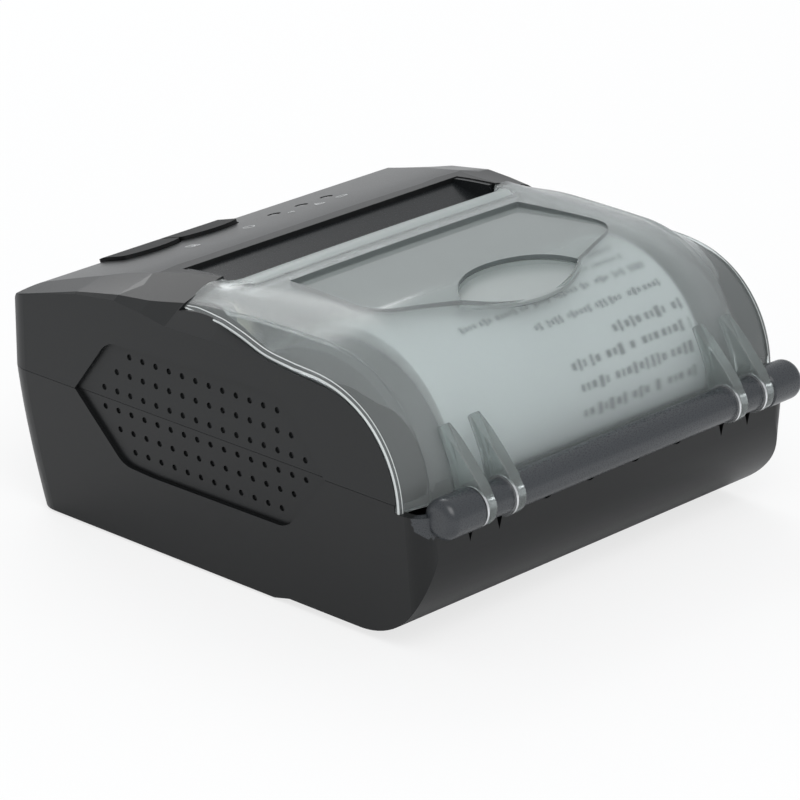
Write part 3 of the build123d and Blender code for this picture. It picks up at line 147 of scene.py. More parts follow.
def make_lamp(name, place, aim, size, watts):
    """A square soft lamp at a place, turned towards a point."""
    lamp = bpy.data.lights.new(name, "AREA")
    lamp.energy = watts
    lamp.size = size
    body = add_object(name, lamp)
    body.location = place
    body.rotation_euler = (Vector(aim) - Vector(place)).to_track_quat("-Z", "Y").to_euler()


def make_table():
    """A large pale floor that keeps the object's soft shadow."""
    corners = [(x * TABLE_HALF, y * TABLE_HALF, 0) for x, y in ((-1, -1), (1, -1), (1, 1), (-1, 1))]
    table = mesh_object("table", corners, [(0, 1, 2, 3)])
    paint, tree, shader = new_paint("table_white")
    shader.inputs["Base Color"].default_value = (0.93, 0.93, 0.93, 1)
    shader.inputs["Roughness"].default_value = 0.9
    shader.inputs["Specular IOR Level"].default_value = 0.0
    glow = tree.nodes.new("ShaderNodeEmission")
    glow.inputs["Strength"].default_value = 1.0
    mix = tree.nodes.new("ShaderNodeMixShader")
    path = tree.nodes.new("ShaderNodeLightPath")
    share = tree.nodes.new("ShaderNodeMath")
    share.operation = "MULTIPLY"
    share.inputs[1].default_value = TABLE_GLOW
    tree.links.new(path.outputs["Is Camera Ray"], share.inputs[0])
    tree.links.new(share.outputs[0], mix.inputs["Fac"])
    tree.links.new(shader.outputs[0], mix.inputs[1])
    tree.links.new(glow.outputs[0], mix.inputs[2])
    tree.links.new(mix.outputs[0], tree.nodes["Material Output"].inputs["Surface"])
    table.data.materials.append(paint)


make_sky()
make_table()
make_lamp("rear_softbox", (0.55, 0.75, 1.15), (0.0, 0.03, 0.03), 0.9, 9.0)
make_lamp("front_softbox", (-0.5, -0.9, 0.9), (0.0, 0.0, 0.03), 0.8, 5.0)
print("world light", WORLD_LIGHT)

# %% [markdown]
# Moulded plastic is never one flat colour: a mould leaves a fine grain, and the pigment has
# faint clouds. One helper builds both: noise for the clouds, finer noise for the grain's bump,
# and the same fine noise again for the roughness.

# %% Moulded plastic
GRAIN_PER_M = 3200.0
CLOUDS_PER_M = 28.0
TURNED_GRAIN = 900.0


def noise(tree, scale, detail=3.0):
    """A noise texture on the object's own coordinates."""
    place = tree.nodes.new("ShaderNodeTexCoord")
    tex = tree.nodes.new("ShaderNodeTexNoise")
    tex.inputs["Scale"].default_value = scale
    tex.inputs["Detail"].default_value = detail
    tree.links.new(place.outputs["Object"], tex.inputs["Vector"])
    return tex.outputs["Fac"]


def ramp(tree, fac, low, high):
    """Two colours mixed by a value."""
    mix = tree.nodes.new("ShaderNodeMix")
    mix.data_type = "RGBA"
    mix.inputs["A"].default_value = (*low, 1)
    mix.inputs["B"].default_value = (*high, 1)
    tree.links.new(fac, mix.inputs["Factor"])
    return mix.outputs["Result"]


def span(tree, fac, low, high):
    """A value from 0 to 1 stretched to run from low to high."""
    fit = tree.nodes.new("ShaderNodeMapRange")
    fit.inputs["To Min"].default_value = low
    fit.inputs["To Max"].default_value = high
    tree.links.new(fac, fit.inputs["Value"])
    return fit.outputs["Result"]


def bump(tree, fac, height_mm, strength):
    """A bump of a real height in millimetres."""
    node = tree.nodes.new("ShaderNodeBump")
    node.inputs["Strength"].default_value = strength
    node.inputs["Distance"].default_value = height_mm * MM
    tree.links.new(fac, node.inputs["Height"])
    return node.outputs["Normal"]


def finish(name, colour, rough, metal=0.0, grain=0.02, grain_scale=GRAIN_PER_M, cloud=0.10, specular=0.5):
    """A solid finish: faint clouds in the colour, grain in the bump, a little change in the sheen."""
    paint, tree, shader = new_paint(name)
    shader.inputs["Metallic"].default_value = metal
    shader.inputs["Specular IOR Level"].default_value = specular
    clouds = noise(tree, CLOUDS_PER_M)
    low = tuple(c * (1 - cloud) for c in colour)
    high = tuple(min(1.0, c * (1 + cloud)) for c in colour)
    tree.links.new(ramp(tree, clouds, low, high), shader.inputs["Base Color"])
    fine = noise(tree, grain_scale, 2.0)
    tree.links.new(span(tree, fine, rough - 0.05, rough + 0.05), shader.inputs["Roughness"])
    tree.links.new(bump(tree, fine, grain, 0.5), shader.inputs["Normal"])
    return paint


case_black = finish("case_black", (0.0090, 0.0098, 0.0102), 0.42, grain=0.010, specular=0.36)
# The lower case and battery door are a darker black than the upper case: painted shade for the lower half.
case_lower_painted_shade = finish("case_lower_painted_shade", (0.0065, 0.0070, 0.0074), 0.34, grain=0.005, specular=0.33)
# The key panel's upward faces get a lighter black with more sheen: a painted sheen.
panel_painted_sheen = finish("panel_painted_sheen", (0.013, 0.014, 0.0145), 0.30, grain=0.006, specular=0.5)
# The hinge barrel is painted a paler grey than the case: a painted highlight for the rod's lit band.
barrel_painted_highlight = finish("barrel_painted_highlight", (0.036, 0.040, 0.045), 0.28, grain=0.004)
key_black = finish("key_black", (0.006, 0.0062, 0.0065), 0.50, grain=0.004, specular=0.12)
bezel_gloss = finish("bezel_gloss", (0.012, 0.0135, 0.0145), 0.26, grain=0.002, specular=0.28)
inner_black = finish("inner_black", (0.012, 0.012, 0.013), 0.5)
print("black plastics ready")

# %% [markdown]
# The cover is smoky translucent plastic. Its skin is finely frosted, so things close behind
# it show softly and things far behind it melt away; the window is smoother. All of it is
# one resin: part of the light passes, part is scattered back by the haze. One shader does
# both: its transmission weight shares them out, and roughness tells frost from polish. Thick
# places, such as the front bar and the notch's floor, let less light through.

# %% Smoky resin
SMOKE = (0.835, 0.885, 0.88)
SMOKE_DEEP = (0.60, 0.65, 0.64)
# A paler smoke for the rim's two bright lines: a painted highlight.
SMOKE_HIGHLIGHT = (0.88, 0.92, 0.91)
# A dark smoke for the walls round the window and the notch: painted shade.
SMOKE_SHADE = (0.16, 0.18, 0.18)
RESIN_IOR = 1.30


def resin(name, colour, clear, rough):
    """Smoky plastic: clear says how much of the light passes, the rest is milky haze."""
    paint, tree, shader = new_paint(name)
    shader.inputs["Transmission Weight"].default_value = clear
    shader.inputs["IOR"].default_value = RESIN_IOR
    clouds = noise(tree, CLOUDS_PER_M)
    low = tuple(c * 0.97 for c in colour)
    high = tuple(c * 1.03 for c in colour)
    tree.links.new(ramp(tree, clouds, low, high), shader.inputs["Base Color"])
    fine = noise(tree, GRAIN_PER_M, 2.0)
    tree.links.new(span(tree, fine, rough * 0.9, rough * 1.1), shader.inputs["Roughness"])
    return paint


frosted = resin("cover_frosted", SMOKE, 0.86, 0.24)
polished = resin("cover_window", SMOKE_DEEP, 0.66, 0.10)
lug_resin = resin("cover_lug", SMOKE_DEEP, 0.84, 0.16)
# The rim's bright lines are a paler, milkier resin: a painted highlight.
rim_highlight_resin = resin("cover_rim_highlight", SMOKE_HIGHLIGHT, 0.30, 0.18)
bar_resin = resin("cover_bar", SMOKE_DEEP, 0.55, 0.30)
# The cut walls are a much darker smoke: painted shade, so that they read as dark lines.
wall_shade_resin = resin("cover_wall_shade", SMOKE_SHADE, 0.40, 0.25)
scoop_resin = resin("cover_scoop", SMOKE_DEEP, 0.55, 0.30)
print("resins ready")

# %% [markdown]
# The cover's form comes from a few measured lines: the middle line over the roof, the crease
# on each shoulder, and the lower edge, which swings down and back round the roll. Over the
# roof a section is taken at each depth; round the drum it is taken at each angle. A grid
# through these sections is easier to control here than a subdivided cage, because the
# crease, the rim and the edge stay exactly where they were measured.

# %% Measured lines of the cover
DRUM_Y = 23.9
DRUM_Z = 28.6
DRUM_R = 34.3
DRUM_END = 85.0
SKIN = 1.8
# over the roof, by depth: the middle's height, the shoulder's width, then crease and edge
ROOF = (
    # y, middle z, shoulder x, crease x, crease z, edge x, edge z
    (-14.6, 61.35, 45.4, 53.0, 58.25, 54.0, 57.55),
    (-2.0, 62.25, 41.0, 53.0, 59.60, 55.8, 57.60),
    (6.0, 62.60, 39.6, 52.4, 59.95, 57.2, 56.85),
    (15.0, 62.85, 38.6, 52.1, 60.00, 58.6, 55.30),
    (DRUM_Y, DRUM_Z + DRUM_R, 38.0, 51.9, DRUM_Z + 31.30, 59.2, DRUM_Z + 26.10),
)
# round the drum, by angle: shoulder x, crease x and radius, edge x and radius
DRUM = (
    (0.0, 38.0, 51.9, 31.30, 59.2, 26.10),
    (6.0, 37.84, 51.6, 31.26, 59.25, 26.20),
    (15.0, 37.6, 51.2, 31.20, 59.3, 26.80),
    (31.0, 37.2, 50.6, 31.10, 59.3, 28.10),
    (45.0, 37.0, 50.4, 31.05, 59.3, 29.10),
    (60.0, 37.0, 50.5, 31.10, 59.3, 29.70),
    (75.0, 37.0, 50.8, 31.35, 59.3, 29.80),
    (DRUM_END, 37.0, 51.0, 31.45, 59.3, 29.65),
)


def through(rows, t):
    """Smooth values between the rows of a table, whose first column is t."""
    table = np.array(rows, float)
    keys, values = table[:, 0], table[:, 1:]
    slopes = np.gradient(values, keys, axis=0)
    i = int(np.clip(np.searchsorted(keys, t) - 1, 0, len(keys) - 2))
    gap = keys[i + 1] - keys[i]
    u = float(np.clip((t - keys[i]) / gap, 0.0, 1.0))
    a = 2 * u ** 3 - 3 * u ** 2 + 1
    b = u ** 3 - 2 * u ** 2 + u
    c = -2 * u ** 3 + 3 * u ** 2
    d = u ** 3 - u ** 2
    return a * values[i] + b * gap * slopes[i] + c * values[i + 1] + d * gap * slopes[i + 1]


def shoulder_fall(u, soft=0.45):
    """How far the shoulder has fallen, 0 to 1, with a soft start at u = 0."""
    if u <= 0:
        return 0.0
    rise = u * u / (2 * soft) if u < soft else u - soft / 2
    return rise / (1 - soft / 2)


CROWN = 0.30


def section_height(x, middle, shoulder, crease, crease_h, edge, edge_h):
    """The height of the skin at x, between the middle, the crease and the edge."""
    x = abs(x)
    crown = CROWN * min(1.0, x / shoulder) ** 2
    if x <= crease:
        fall = (middle - CROWN - crease_h) * shoulder_fall((x - shoulder) / (crease - shoulder))
        return middle - crown - fall
    u = (x - crease) / (edge - crease)
    return crease_h + (edge_h - crease_h) * u


print("cover is", DRUM_R * 2, "mm across its drum")

# %% [markdown]
# Each section is sampled at the same number of places: many across the broad middle, several
# on the shoulder, and a close set where the rim steps up. The rows run back over the roof and
# then down round the drum. The front edge isn't straight: between the slot's ends it starts
# two millimetres further back, and rolls over in a soft bar. The narrow columns at the edge
# and on the rim's inner side are marked for a paler finish: a painted highlight, which stands
# in for the two bright lines where the rim catches the light.

# %% The cover's skin as a grid
MIDDLE_COLUMNS = 22
SHOULDER_COLUMNS = 9
SLOPE_COLUMNS = 4
CREASE_IN = 0.15
CREASE_OUT = 0.25
RIM_W = 1.25
RIM_H = 0.45
RIM_GAP = 0.3
RIM_INNER = (0.1, 0.3)
# steps of the rim's outer side: distance from the edge, and the share of the rim's height
RIM_OUTER = ((0.30, 1.0), (0.08, 0.8), (0.0, 0.2))
ROOF_ROWS = 46
DRUM_ROWS = 54
BAR_X = 41.3
LOBE_X = 43.0
BAR_FRONT_Y = -12.2
LOBE_FRONT_Y = -14.3
BAR_ROLL = 3.0
RIM_START_Y = -3.5
RIM_FADE = 3.0
CREASE_DIP = -0.45
BRIGHT_START = 2
SECOND_FINISH = 1
GROOVE_Y = -5.9
GROOVE_DEPTH = 0.32
GROOVE_W = 0.8
SWELL_Y = -8.4
SWELL_HEIGHT = 0.25
SWELL_W = 1.6
NOSE_DROP = 1.9
# just under 1, so that the nose never ends quite upright
NOSE_ROUND = 0.99
ROW_CROWDING = 1.25


def columns(shoulder, crease, edge):
    """Places across one half of a section, with the rim's lift at each."""
    places = [(shoulder * i / MIDDLE_COLUMNS, 0.0) for i in range(MIDDLE_COLUMNS)]
    gap = (crease - shoulder) / SHOULDER_COLUMNS
    places += [(shoulder + gap * i, 0.0) for i in range(SHOULDER_COLUMNS)]
    rim_in = max(crease + RIM_GAP, edge - RIM_W)
    start = crease + CREASE_OUT
    places += [(crease - CREASE_IN, 0.0), (crease, CREASE_DIP), (start, 0.0)]
    places += [(start + (rim_in - start) * i / SLOPE_COLUMNS, 0.0) for i in range(1, SLOPE_COLUMNS + 1)]
    places += [(rim_in + step, 1.0) for step in RIM_INNER]
    places += [(edge - step, lift) for step, lift in RIM_OUTER]
    return places


def front_y(x):
    """Where the cover's front edge lies at x."""
    u = min(1.0, max(0.0, (abs(x) - BAR_X) / (LOBE_X - BAR_X)))
    return BAR_FRONT_Y + (LOBE_FRONT_Y - BAR_FRONT_Y) * u


def bar_shape(x, y):
    """The rolled front bar: a rounded nose, a soft swell and a shallow groove behind it."""
    if abs(x) > LOBE_X:
        return 0.0
    fade = 1.0 - min(1.0, max(0.0, (abs(x) - BAR_X) / (LOBE_X - BAR_X)))
    s = min(1.0, max(0.0, (BAR_FRONT_Y + BAR_ROLL - y) / BAR_ROLL))
    nose = NOSE_DROP * (1 - math.sqrt(1 - s * s * NOSE_ROUND))
    groove = GROOVE_DEPTH * math.exp(-((y - GROOVE_Y) / GROOVE_W) ** 2)
    swell = SWELL_HEIGHT * math.exp(-((y - SWELL_Y) / SWELL_W) ** 2)
    return fade * (swell - nose - groove)


def roof_point(column, y):
    """A point of the roof's skin at one column and depth."""
    middle, shoulder, crease, crease_z, edge, edge_z = through(ROOF, y)
    x, lift = columns(shoulder, crease, edge)[column]
    z = section_height(x, middle, shoulder, crease, crease_z, edge, edge_z)
    fade = min(1.0, max(0.0, (y - RIM_START_Y) / RIM_FADE))
    return x, z, lift * fade


def skin_grid():
    """Rows of points, each with the rim's lift, from the front edge to the bottom of the drum."""
    count = len(columns(*DRUM[0][1:3], DRUM[0][4]))
    rows = []
    for r in range(ROOF_ROWS):
        t = (r / (ROOF_ROWS - 1)) ** ROW_CROWDING
        row = []
        for c in range(count):
            # the front edge depends on x, and x on the depth, so three rounds settle both
            y = DRUM_Y
            for _ in range(3):
                x = roof_point(c, y)[0]
                start = front_y(x)
                y = start + (DRUM_Y - start) * t
            x, z, lift = roof_point(c, y)
            row.append((x, y, z + bar_shape(x, y), lift))
        rows.append(row)
    for r in range(1, DRUM_ROWS):
        angle = DRUM_END * r / (DRUM_ROWS - 1)
        shoulder, crease, crease_r, edge, edge_r = through(DRUM, angle)
        turn = math.radians(angle)
        row = []
        for x, lift in columns(shoulder, crease, edge):
            radius = section_height(x, DRUM_R, shoulder, crease, crease_r, edge, edge_r)
            row.append((x, DRUM_Y + radius * math.sin(turn), DRUM_Z + radius * math.cos(turn), lift))
        rows.append(row)
    grid = np.array(rows)
    left = grid[:, :0:-1].copy()
    left[:, :, 0] *= -1
    return np.concatenate([left, grid], axis=1)


def grid_normals(points):
    """Outward normals of a grid of points."""
    along = np.gradient(points, axis=0)
    across = np.gradient(points, axis=1)
    normal = np.cross(across, along)
    return normal / np.linalg.norm(normal, axis=2, keepdims=True)


def closed_shell(name, outer, inner, marked=()):
    """A closed mesh between two grids of the same size; marked columns get the second finish."""
    rows, cols = outer.shape[:2]
    verts = np.concatenate([outer.reshape(-1, 3), inner.reshape(-1, 3)])
    verts[:, 2] += FEET
    verts *= MM
    base = rows * cols
    faces, bright = [], []
    for r in range(rows - 1):
        for c in range(cols - 1):
            a, b = r * cols + c, r * cols + c + 1
            d, e = a + cols, b + cols
            if c in marked and r >= BRIGHT_START:
                bright.append(len(faces))
            faces.append((a, b, e, d))
            faces.append((base + a, base + d, base + e, base + b))
    border = list(range(cols))
    border += [r * cols + cols - 1 for r in range(1, rows)]
    border += [(rows - 1) * cols + c for c in range(cols - 2, -1, -1)]
    border += [r * cols for r in range(rows - 2, 0, -1)]
    for a, b in zip(border, border[1:] + border[:1]):
        faces.append((b, a, base + a, base + b))
    piece = mesh_object(name, verts.tolist(), faces)
    for i in bright:
        piece.data.polygons[i].material_index = SECOND_FINISH
    return piece


def make_skin():
    """The whole cover's skin, before window and notch are cut."""
    grid = skin_grid()
    points = grid[:, :, :3]
    normals = grid_normals(points)
    outer = points + normals * (grid[:, :, 3:4] * RIM_H)
    inner = points - normals * SKIN
    last = grid.shape[1] - 2
    # These edge and rim columns get the painted highlight finish.
    shell = closed_shell("cover_shell", outer, inner, (0, 1, 3, last, last - 1, last - 3))
    for paint in (frosted, rim_highlight_resin, bar_resin, wall_shade_resin):
        shell.data.materials.append(paint)
    return shell


cover_shell = make_skin()
print("cover grid:", len(cover_shell.data.vertices), "points")

# %% [markdown]
# The window is a six-sided panel with two rounded corners, sunk by about a millimetre, and a
# lens-shaped notch for a fingertip cuts its rear edge. We cut both with the exact boolean: a
# prism of the window's outline opens the frosted skin, and the pane that fills the opening is
# a slab of the same curved skin, a little lower, kept only inside the outline. A shallow cup
# with a sloping floor closes the notch from below.

# %% Window and notch
SINK_FRONT = 1.25
SINK_REAR = 0.35
PANE_T = 1.1
PANE_X = 40.0
PANE_Y = (-2.0, 42.0)
PANE_COLUMNS = 41
PANE_ROWS = 34
NOTCH_X = 18.4
NOTCH_Y = 33.0
NOTCH_FRONT = 22.6
NOTCH_REAR = 39.0
SCOOP_Z = 60.2
SCOOP_FALL = 0.65
SCOOP_T = 1.0
SCOOP_WALL = 0.8
SCOOP_TUCK = 0.1
TOOL_LOW = 48.0
TOOL_HIGH = 72.0
# the window's corners in plan, each with the reach of its rounding
WINDOW = ((-35.7, -0.6, 0.4), (35.7, -0.6, 0.4), (38.0, 26.2, 6.0), (NOTCH_X, NOTCH_Y, 1.0),
          (-NOTCH_X, NOTCH_Y, 1.0), (-38.0, 26.2, 6.0))


def rounded_outline(corners, steps=10):
    """A closed outline through corners (x, y, reach), each rounded with a short curve."""
    points = []
    count = len(corners)
    for i, (x, y, r) in enumerate(corners):
        before = Vector(corners[i - 1][:2]) - Vector((x, y))
        after = Vector(corners[(i + 1) % count][:2]) - Vector((x, y))
        start = Vector((x, y)) + before.normalized() * r
        end = Vector((x, y)) + after.normalized() * r
        for s in range(steps + 1):
            t = s / steps
            points.append(start * (1 - t) ** 2 + Vector((x, y)) * 2 * t * (1 - t) + end * t * t)
    return points


def lens_outline(grow=0.0, steps=28):
    """The finger notch from above: two arcs that meet at its tips."""
    points = []
    for sign, far in ((1, NOTCH_FRONT - grow), (-1, NOTCH_REAR + grow)):
        sag = abs(far - NOTCH_Y)
        half = NOTCH_X + grow
        radius = (half * half + sag * sag) / (2 * sag)
        centre = far + sign * radius
        reach = math.asin(half / radius)
        for s in range(steps):
            a = -reach + 2 * reach * s / steps
            points.append(Vector((sign * radius * math.sin(a), centre - sign * radius * math.cos(a))))
    return points


def turn_faces_out(piece):
    """Point all the normals of a closed piece outwards."""
    shape = bmesh.new()
    shape.from_mesh(piece.data)
    bmesh.ops.recalc_face_normals(shape, faces=shape.faces)
    shape.to_mesh(piece.data)
    shape.free()
    return piece


def prism(name, outline, place, ends):
    """An outline drawn out between two ends; place turns its points and an end into 3-D."""
    count = len(outline)
    verts = [place(p, end) for end in ends for p in outline]
    faces = [tuple(range(count))[::-1], tuple(range(count, 2 * count))]
    faces += [(i, (i + 1) % count, count + (i + 1) % count, count + i) for i in range(count)]
    return turn_faces_out(mesh_object(name, verts, faces))


def upright_tool(name, outline):
    """A cutting tool: an outline in plan, drawn up through the cover."""
    return prism(name, outline, lambda p, z: at(p[0], p[1], z), (TOOL_LOW, TOOL_HIGH))


def apply_step(piece, step):
    """Make a modifier's result the piece's own mesh."""
    graph = bpy.context.evaluated_depsgraph_get()
    graph.update()
    made = bpy.data.meshes.new_from_object(piece.evaluated_get(graph))
    piece.modifiers.remove(step)
    piece.data = made


def carve(piece, tool, how):
    """Apply one exact boolean to a piece."""
    step = piece.modifiers.new("cut", "BOOLEAN")
    step.operation = how
    step.solver = "EXACT"
    step.object = tool
    apply_step(piece, step)


def discard(*tools):
    """Remove tools that have done their cutting."""
    for tool in tools:
        bpy.data.objects.remove(tool)


def roof_height(x, y):
    """The height of the smooth skin over one plan point."""
    if y <= DRUM_Y:
        middle, shoulder, crease, crease_z, edge, edge_z = through(ROOF, y)
        return section_height(x, middle, shoulder, crease, crease_z, edge, edge_z)
    # the radius depends on the angle, and the angle on the radius, so six rounds settle both
    angle = 0.0
    for _ in range(6):
        shoulder, crease, crease_r, edge, edge_r = through(DRUM, angle)
        radius = section_height(x, DRUM_R, shoulder, crease, crease_r, edge, edge_r)
        angle = math.degrees(math.asin(min(0.99, (y - DRUM_Y) / radius)))
    return DRUM_Z + radius * math.cos(math.radians(angle))


def window_sink(y):
    """The pane lies deeper at the front than at the notch."""
    u = min(1.0, max(0.0, (y - WINDOW[0][1]) / (WINDOW[3][1] - WINDOW[0][1])))
    return SINK_FRONT + (SINK_REAR - SINK_FRONT) * u


def make_pane():
    """The polished pane: a slab of skin a little below the frosted surface."""
    xs = np.linspace(-PANE_X, PANE_X, PANE_COLUMNS)
    ys = np.linspace(*PANE_Y, PANE_ROWS)
    top_grid = np.array([[(x, y, roof_height(x, y) - window_sink(y)) for x in xs] for y in ys])
    low_grid = top_grid.copy()
    low_grid[:, :, 2] -= PANE_T
    return closed_shell("cover_pane", top_grid, low_grid)


def scoop_floor(y):
    """The height of the notch's sloping floor at depth y."""
    return SCOOP_Z - SCOOP_FALL * (y - NOTCH_FRONT) / (NOTCH_REAR - NOTCH_FRONT)


def make_scoop():
    """The shallow cup under the notch: a sloping floor with a thin wall round it."""
    inner = lens_outline()
    outer = lens_outline(SCOOP_WALL)
    lips = [max(scoop_floor(p.y), roof_height(p.x, p.y) - SKIN) for p in inner]
    rings = [
        [(p.x, p.y, lip) for p, lip in zip(inner, lips)],
        [(p.x, p.y, scoop_floor(p.y)) for p in inner],
        [(q.x, q.y, scoop_floor(q.y) - SCOOP_T) for q in outer],
        [(q.x, q.y, lip - SCOOP_TUCK) for q, lip in zip(outer, lips)],
    ]
    count = len(inner)
    verts = [tuple(at(*point)) for ring in rings for point in ring]
    faces = [tuple(range(count, 2 * count)), tuple(range(2 * count, 3 * count))[::-1]]
    for i in range(count):
        j = (i + 1) % count
        for low, high in ((1, 0), (0, 3), (3, 2)):
            faces.append((low * count + i, low * count + j, high * count + j, high * count + i))
    return turn_faces_out(mesh_object("cover_scoop", verts, faces))


window_tool = upright_tool("window_tool", rounded_outline(WINDOW))
notch_tool = upright_tool("notch_tool", lens_outline())
cover_pane = make_pane()
carve(cover_pane, window_tool, "INTERSECT")
carve(cover_pane, notch_tool, "DIFFERENCE")
carve(cover_shell, window_tool, "DIFFERENCE")
carve(cover_shell, notch_tool, "DIFFERENCE")
discard(window_tool, notch_tool)
cover_scoop = make_scoop()
print("window cut; pane has", len(cover_pane.data.polygons), "faces")

# %% [markdown]
# The cover's pieces are shaded smooth except across their real edges. Then each gets its
# finish, the body it rides on and the nodes that it takes the place of. Three kinds of face
# differ from the frosted rest: the bright edge, marked before, which is a painted highlight,
# the thick front bar, and the walls round the window and the notch, painted dark as painted
# shade, so that they read as thin dark lines.

# %% Shade smooth, but keep the sharp edges
COVER_SHARP = 24.0
TRIM_SHARP = 40.0
FRONT_BAR, CUT_WALL, PANE_WALL = 2, 3, 1
CUT_X = 39.0
CUT_Y = (-1.5, 39.5)
UPRIGHT = 0.35


def smooth(piece, sharp_deg):
    """Smooth shading that stops at edges sharper than an angle."""
    for face in piece.data.polygons:
        face.use_smooth = True
    piece.data.set_sharp_from_angle(angle=math.radians(sharp_deg))


def dress(piece, paint, body, slot, *replaced):
    """Give a piece its finish, its body and the nodes it stands for; the slot is not used."""
    if not piece.data.materials:
        piece.data.materials.append(paint)
    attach(piece, body)
    if replaced:
        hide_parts(*replaced)


def is_cut_wall(face):
    """Whether a face stands upright where the window or the notch was cut."""
    spot = face.center / MM
    inside = abs(spot.x) < CUT_X and CUT_Y[0] < spot.y < CUT_Y[1]
    return inside and abs(face.normal.z) < UPRIGHT


for piece, paint in ((cover_shell, frosted), (cover_pane, polished), (cover_scoop, scoop_resin)):
    smooth(piece, COVER_SHARP)
    dress(piece, paint, "paper_cover", "cover_smoke", "cover")
# The pane's cut walls get the painted shade finish as well.
cover_pane.data.materials.append(wall_shade_resin)
for face in cover_shell.data.polygons:
    spot = face.center / MM
    if spot.y < GROOVE_Y and abs(spot.x) < BAR_X:
        face.material_index = FRONT_BAR
    elif is_cut_wall(face):
        face.material_index = CUT_WALL
for face in cover_pane.data.polygons:
    if is_cut_wall(face):
        face.material_index = PANE_WALL
bright = [face for face in cover_shell.data.polygons if face.material_index == SECOND_FINISH]
print("bright rim faces:", len(bright))

# %% [markdown]
# Four claw-shaped lugs carry the cover on its hinge. From the side each looks like a shark's
# fin: its back runs down off the drum in one curve and wraps the barrel. We draw that
# side outline once, draw it out to the lug's width, and let a bevel soften its edges. A thin
# steel washer lies on the side of each lug that faces the camera. Its steel is paler than the
# pins' and not wholly metal, in part a painted glint, and it shows as a pale arc.

# %% Hinge lugs and washers
HINGE_Y = 61.66
HINGE_Z = 31.1
LUG_R = 4.4
LUG_W = 3.1
LUG_STARTS = (33.95, 42.75)
LUG_TURN = (22.0, -118.0)
LUG_EDGE = 0.4
WASHER_R = 4.46
WASHER_HOLE_R = 3.2
WASHER_W = 0.55
WASHER_PROUD = 0.06


def spline_points(points, steps):
    """Smooth points through a few given ones, by the Catmull-Rom rule."""
    line = [Vector(p) for p in points]
    line = [line[0] * 2 - line[1]] + line + [line[-1] * 2 - line[-2]]
    out = []
    for i in range(1, len(line) - 2):
        p0, p1, p2, p3 = line[i - 1:i + 3]
        for s in range(steps):
            t = s / steps
            out.append(0.5 * (2 * p1 + (p2 - p0) * t + (2 * p0 - 5 * p1 + 4 * p2 - p3) * t * t
                              + (3 * p1 - p0 - 3 * p2 + p3) * t ** 3))
    out.append(line[-2])
    return out


def lug_outline():
    """The lug's side outline as (y, z) points: back, wrap round the barrel, and belly."""
    back = spline_points([(52.6, 46.6), (55.8, 44.2), (59.4, 40.8), (63.6, 36.3)], 6)
    wrap = []
    for degrees in np.linspace(*LUG_TURN, 15):
        turn = math.radians(degrees)
        wrap.append(Vector((HINGE_Y + LUG_R * math.cos(turn), HINGE_Z + LUG_R * math.sin(turn))))
    belly = spline_points([(58.0, 30.0), (56.6, 33.0), (55.2, 38.0), (51.4, 45.6)], 5)
    return back + wrap + belly


def soften(piece, width_mm, segments=3, limit_deg=35.0):
    """Round the sharp edges of a piece by a real width, and apply it."""
    edge = piece.modifiers.new("edge", "BEVEL")
    edge.width = width_mm * MM
    edge.segments = segments
    edge.limit_method = "ANGLE"
    edge.angle_limit = math.radians(limit_deg)
    apply_step(piece, edge)


def ring(r, steps=40):
    """A circle round the hinge's axis, as (y, z) points."""
    turns = [2 * math.pi * i / steps for i in range(steps)]
    return [(HINGE_Y + r * math.cos(turn), HINGE_Z + r * math.sin(turn)) for turn in turns]


def make_washer(name, x0, x1):
    """A thin flat ring round the hinge's axis."""
    rings = (ring(WASHER_R), ring(WASHER_HOLE_R))
    count = len(rings[0])
    verts = [at(x, y, z) for x in (x0, x1) for circle in rings for y, z in circle]
    faces = []
    for i in range(count):
        j = (i + 1) % count
        a, b, c, d = 0, count, 2 * count, 3 * count
        faces += [(a + i, a + j, b + j, b + i), (c + j, c + i, d + i, d + j)]
        faces += [(a + j, a + i, c + i, c + j), (b + i, b + j, d + j, d + i)]
    return mesh_object(name, verts, faces)


# The washer's steel is paler than the pins' and not wholly metal: in part a painted glint.
washer_glint_steel = finish("washer_glint_steel", (0.72, 0.73, 0.74), 0.24, metal=0.85, grain=0.001,
                      grain_scale=TURNED_GRAIN, cloud=0.04)
outline = lug_outline()
for side_name, sign in (("left", 1), ("right", -1)):
    for number, start in enumerate(LUG_STARTS, 1):
        x0, x1 = sorted((sign * start, sign * (start + LUG_W)))
        lug = prism(f"cover_lug_{side_name}_{number}", outline, lambda p, x: at(x, p[0], p[1]), (x0, x1))
        soften(lug, LUG_EDGE)
        smooth(lug, TRIM_SHARP)
        dress(lug, lug_resin, "paper_cover", "cover_smoke", "cover")
        washer_end = x1 + WASHER_PROUD
        washer = make_washer(f"hinge_washer_{side_name}_{number}", washer_end - WASHER_W, washer_end)
        smooth(washer, TRIM_SHARP)
        dress(washer, washer_glint_steel, "paper_cover", "pin_steel")
print("lugs and washers at", LUG_STARTS)

# %% [markdown]
# The inside pieces show through the smoke, at the slot, and when the cover stands open. Each
# gets the finish of what it is made of: brushed steel for the plates, bright turned steel for
# the shafts, ivory plastic for the gears, black rubber, brass, a green board. They come from
# the same helper with other numbers; only the board and brushed metal need more.

